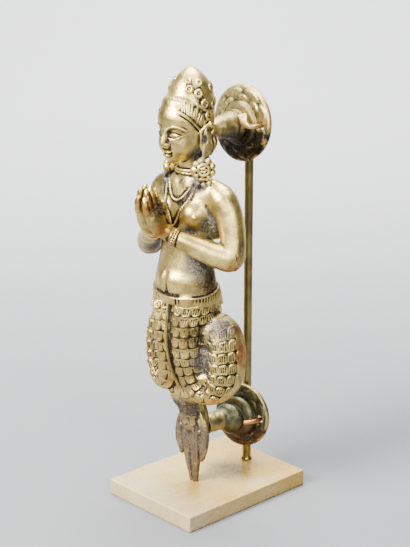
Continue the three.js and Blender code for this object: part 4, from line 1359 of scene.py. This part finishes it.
def backdrop():
    """A floor that sweeps up into a wall far behind the object."""
    profile = [(-4.0, 0.0), (0.9, 0.0)]
    bend = np.linspace(0.08, math.pi / 2, 18)
    profile += [(0.9 + 0.8 * math.sin(a), 0.8 - 0.8 * math.cos(a)) for a in bend]
    profile += [(1.7, 2.8)]
    turn = math.radians(STAGE_TURN)
    back = np.array([-math.sin(turn), math.cos(turn)])
    right = np.array([math.cos(turn), math.sin(turn)])
    points = []
    for depth, z in profile:
        for side in (-4.0, 4.0):
            p = back * depth + right * side
            points.append((p[0], p[1], z - 0.0002))
    faces = [(2 * k, 2 * k + 1, 2 * k + 3, 2 * k + 2) for k in range(len(profile) - 1)]
    made = mesh_object("backdrop", points, faces)
    smooth_shaded(made)
    made.data.materials.append(stage_material([float(v) for v in back]))


def area_light(name, place, target, size, power):
    lamp = bpy.data.lights.new(name, "AREA")
    lamp.shape = "RECTANGLE"
    lamp.size, lamp.size_y = size
    lamp.energy = power
    made = placed(name, lamp)
    made.location = place
    made.rotation_euler = (Vector(target) - Vector(place)).to_track_quat("-Z", "Y").to_euler()


def lights():
    aim = (0, 0, 0.13)
    area_light("key", (-0.15, -1.0, 0.95), aim, (0.5, 0.5), 47)
    area_light("side", (1.1, -0.35, 0.75), aim, (0.3, 0.6), 8)
    area_light("top", (0.0, 0.15, 1.4), aim, (0.9, 0.9), 19)
    area_light("front", (0.95, -1.25, 0.8), aim, (0.9, 0.9), 11)
    area_light("far_floor", (0.5, -2.0, 1.7), (0.8, -2.6, 0), (1.6, 1.2), 60)
    area_light("wall", (-0.5, 0.5, 1.5), (-0.95, 0.9, 0.2), (1.4, 0.6), 52)
    world = bpy.data.worlds.new("studio")
    world.use_nodes = True
    world.node_tree.nodes["Background"].inputs["Color"].default_value = (0.86, 0.87, 0.89, 1)
    world.node_tree.nodes["Background"].inputs["Strength"].default_value = 0.13
    bpy.context.scene.world = world


def camera():
    lens = bpy.data.cameras.new("camera")
    lens.lens = LENS
    lens.sensor_width = SENSOR
    lens.sensor_fit = "AUTO"
    lens.clip_start = 0.01
    made = placed("camera", lens)
    look = Vector(CAMERA_LOOK).normalized()
    right = look.cross(Vector(CAMERA_UP)).normalized()
    up = right.cross(look)
    turn = Matrix((right, up, -look)).transposed()
    made.matrix_world = Matrix.Translation(Vector(CAMERA_PLACE) * MM) @ turn.to_4x4()
    bpy.context.scene.camera = made


def development():
    """More contrast between lit and shaded metal."""
    bpy.context.scene.view_settings.look = "AgX - Medium High Contrast"


# Putting it together

def put(piece, node, material):
    piece.data.materials.clear()
    piece.data.materials.append(material)
    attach(piece, "root")
    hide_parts(node)


def with_hollows(piece):
    write_attribute(piece, "hollow", hollowness(piece))
    return piece


camera()
lights()
development()
backdrop()
brass = figure_brass()
for piece in figure_pieces():
    put(piece, "figure", brass)
# Tones of the bosses: light, deep, dark and worn
UPPER_TONES = ((0.46, 0.37, 0.16), (0.27, 0.22, 0.10), (0.034, 0.029, 0.032), (0.62, 0.44, 0.18))
LOWER_TONES = ((0.18, 0.172, 0.098), (0.115, 0.115, 0.07), (0.078, 0.05, 0.042), (0.50, 0.38, 0.16))
upper = with_hollows(rosette("upper_rosette_detail", UPPER_ROSETTE))
put(upper, "upper_rosette",
    rosette_material("rosette_brass", UPPER_ROSETTE, UPPER_TONES, 0.0, 0.14))
lower = with_hollows(rosette("lower_rosette_detail", LOWER_ROSETTE))
put(lower, "lower_rosette",
    rosette_material("rosette_bronze", LOWER_ROSETTE, LOWER_TONES, -4.0, 0.05))
put(rod(), "rod", wire_material("rod_metal", (0.31, 0.25, 0.115), (0.20, 0.16, 0.08)))
put(hook("upper_hook_detail", UPPER_ROSETTE, UPPER_HOOK_REACH), "upper_hook",
    wire_material("hook_metal", (0.74, 0.56, 0.26), (0.50, 0.35, 0.16)))
put(hook("lower_pin_detail", LOWER_ROSETTE, LOWER_PIN_REACH), "lower_pin",
    wire_material("pin_metal", (0.66, 0.30, 0.12), (0.42, 0.17, 0.07)))
put(plate(), "base_plate", resin())
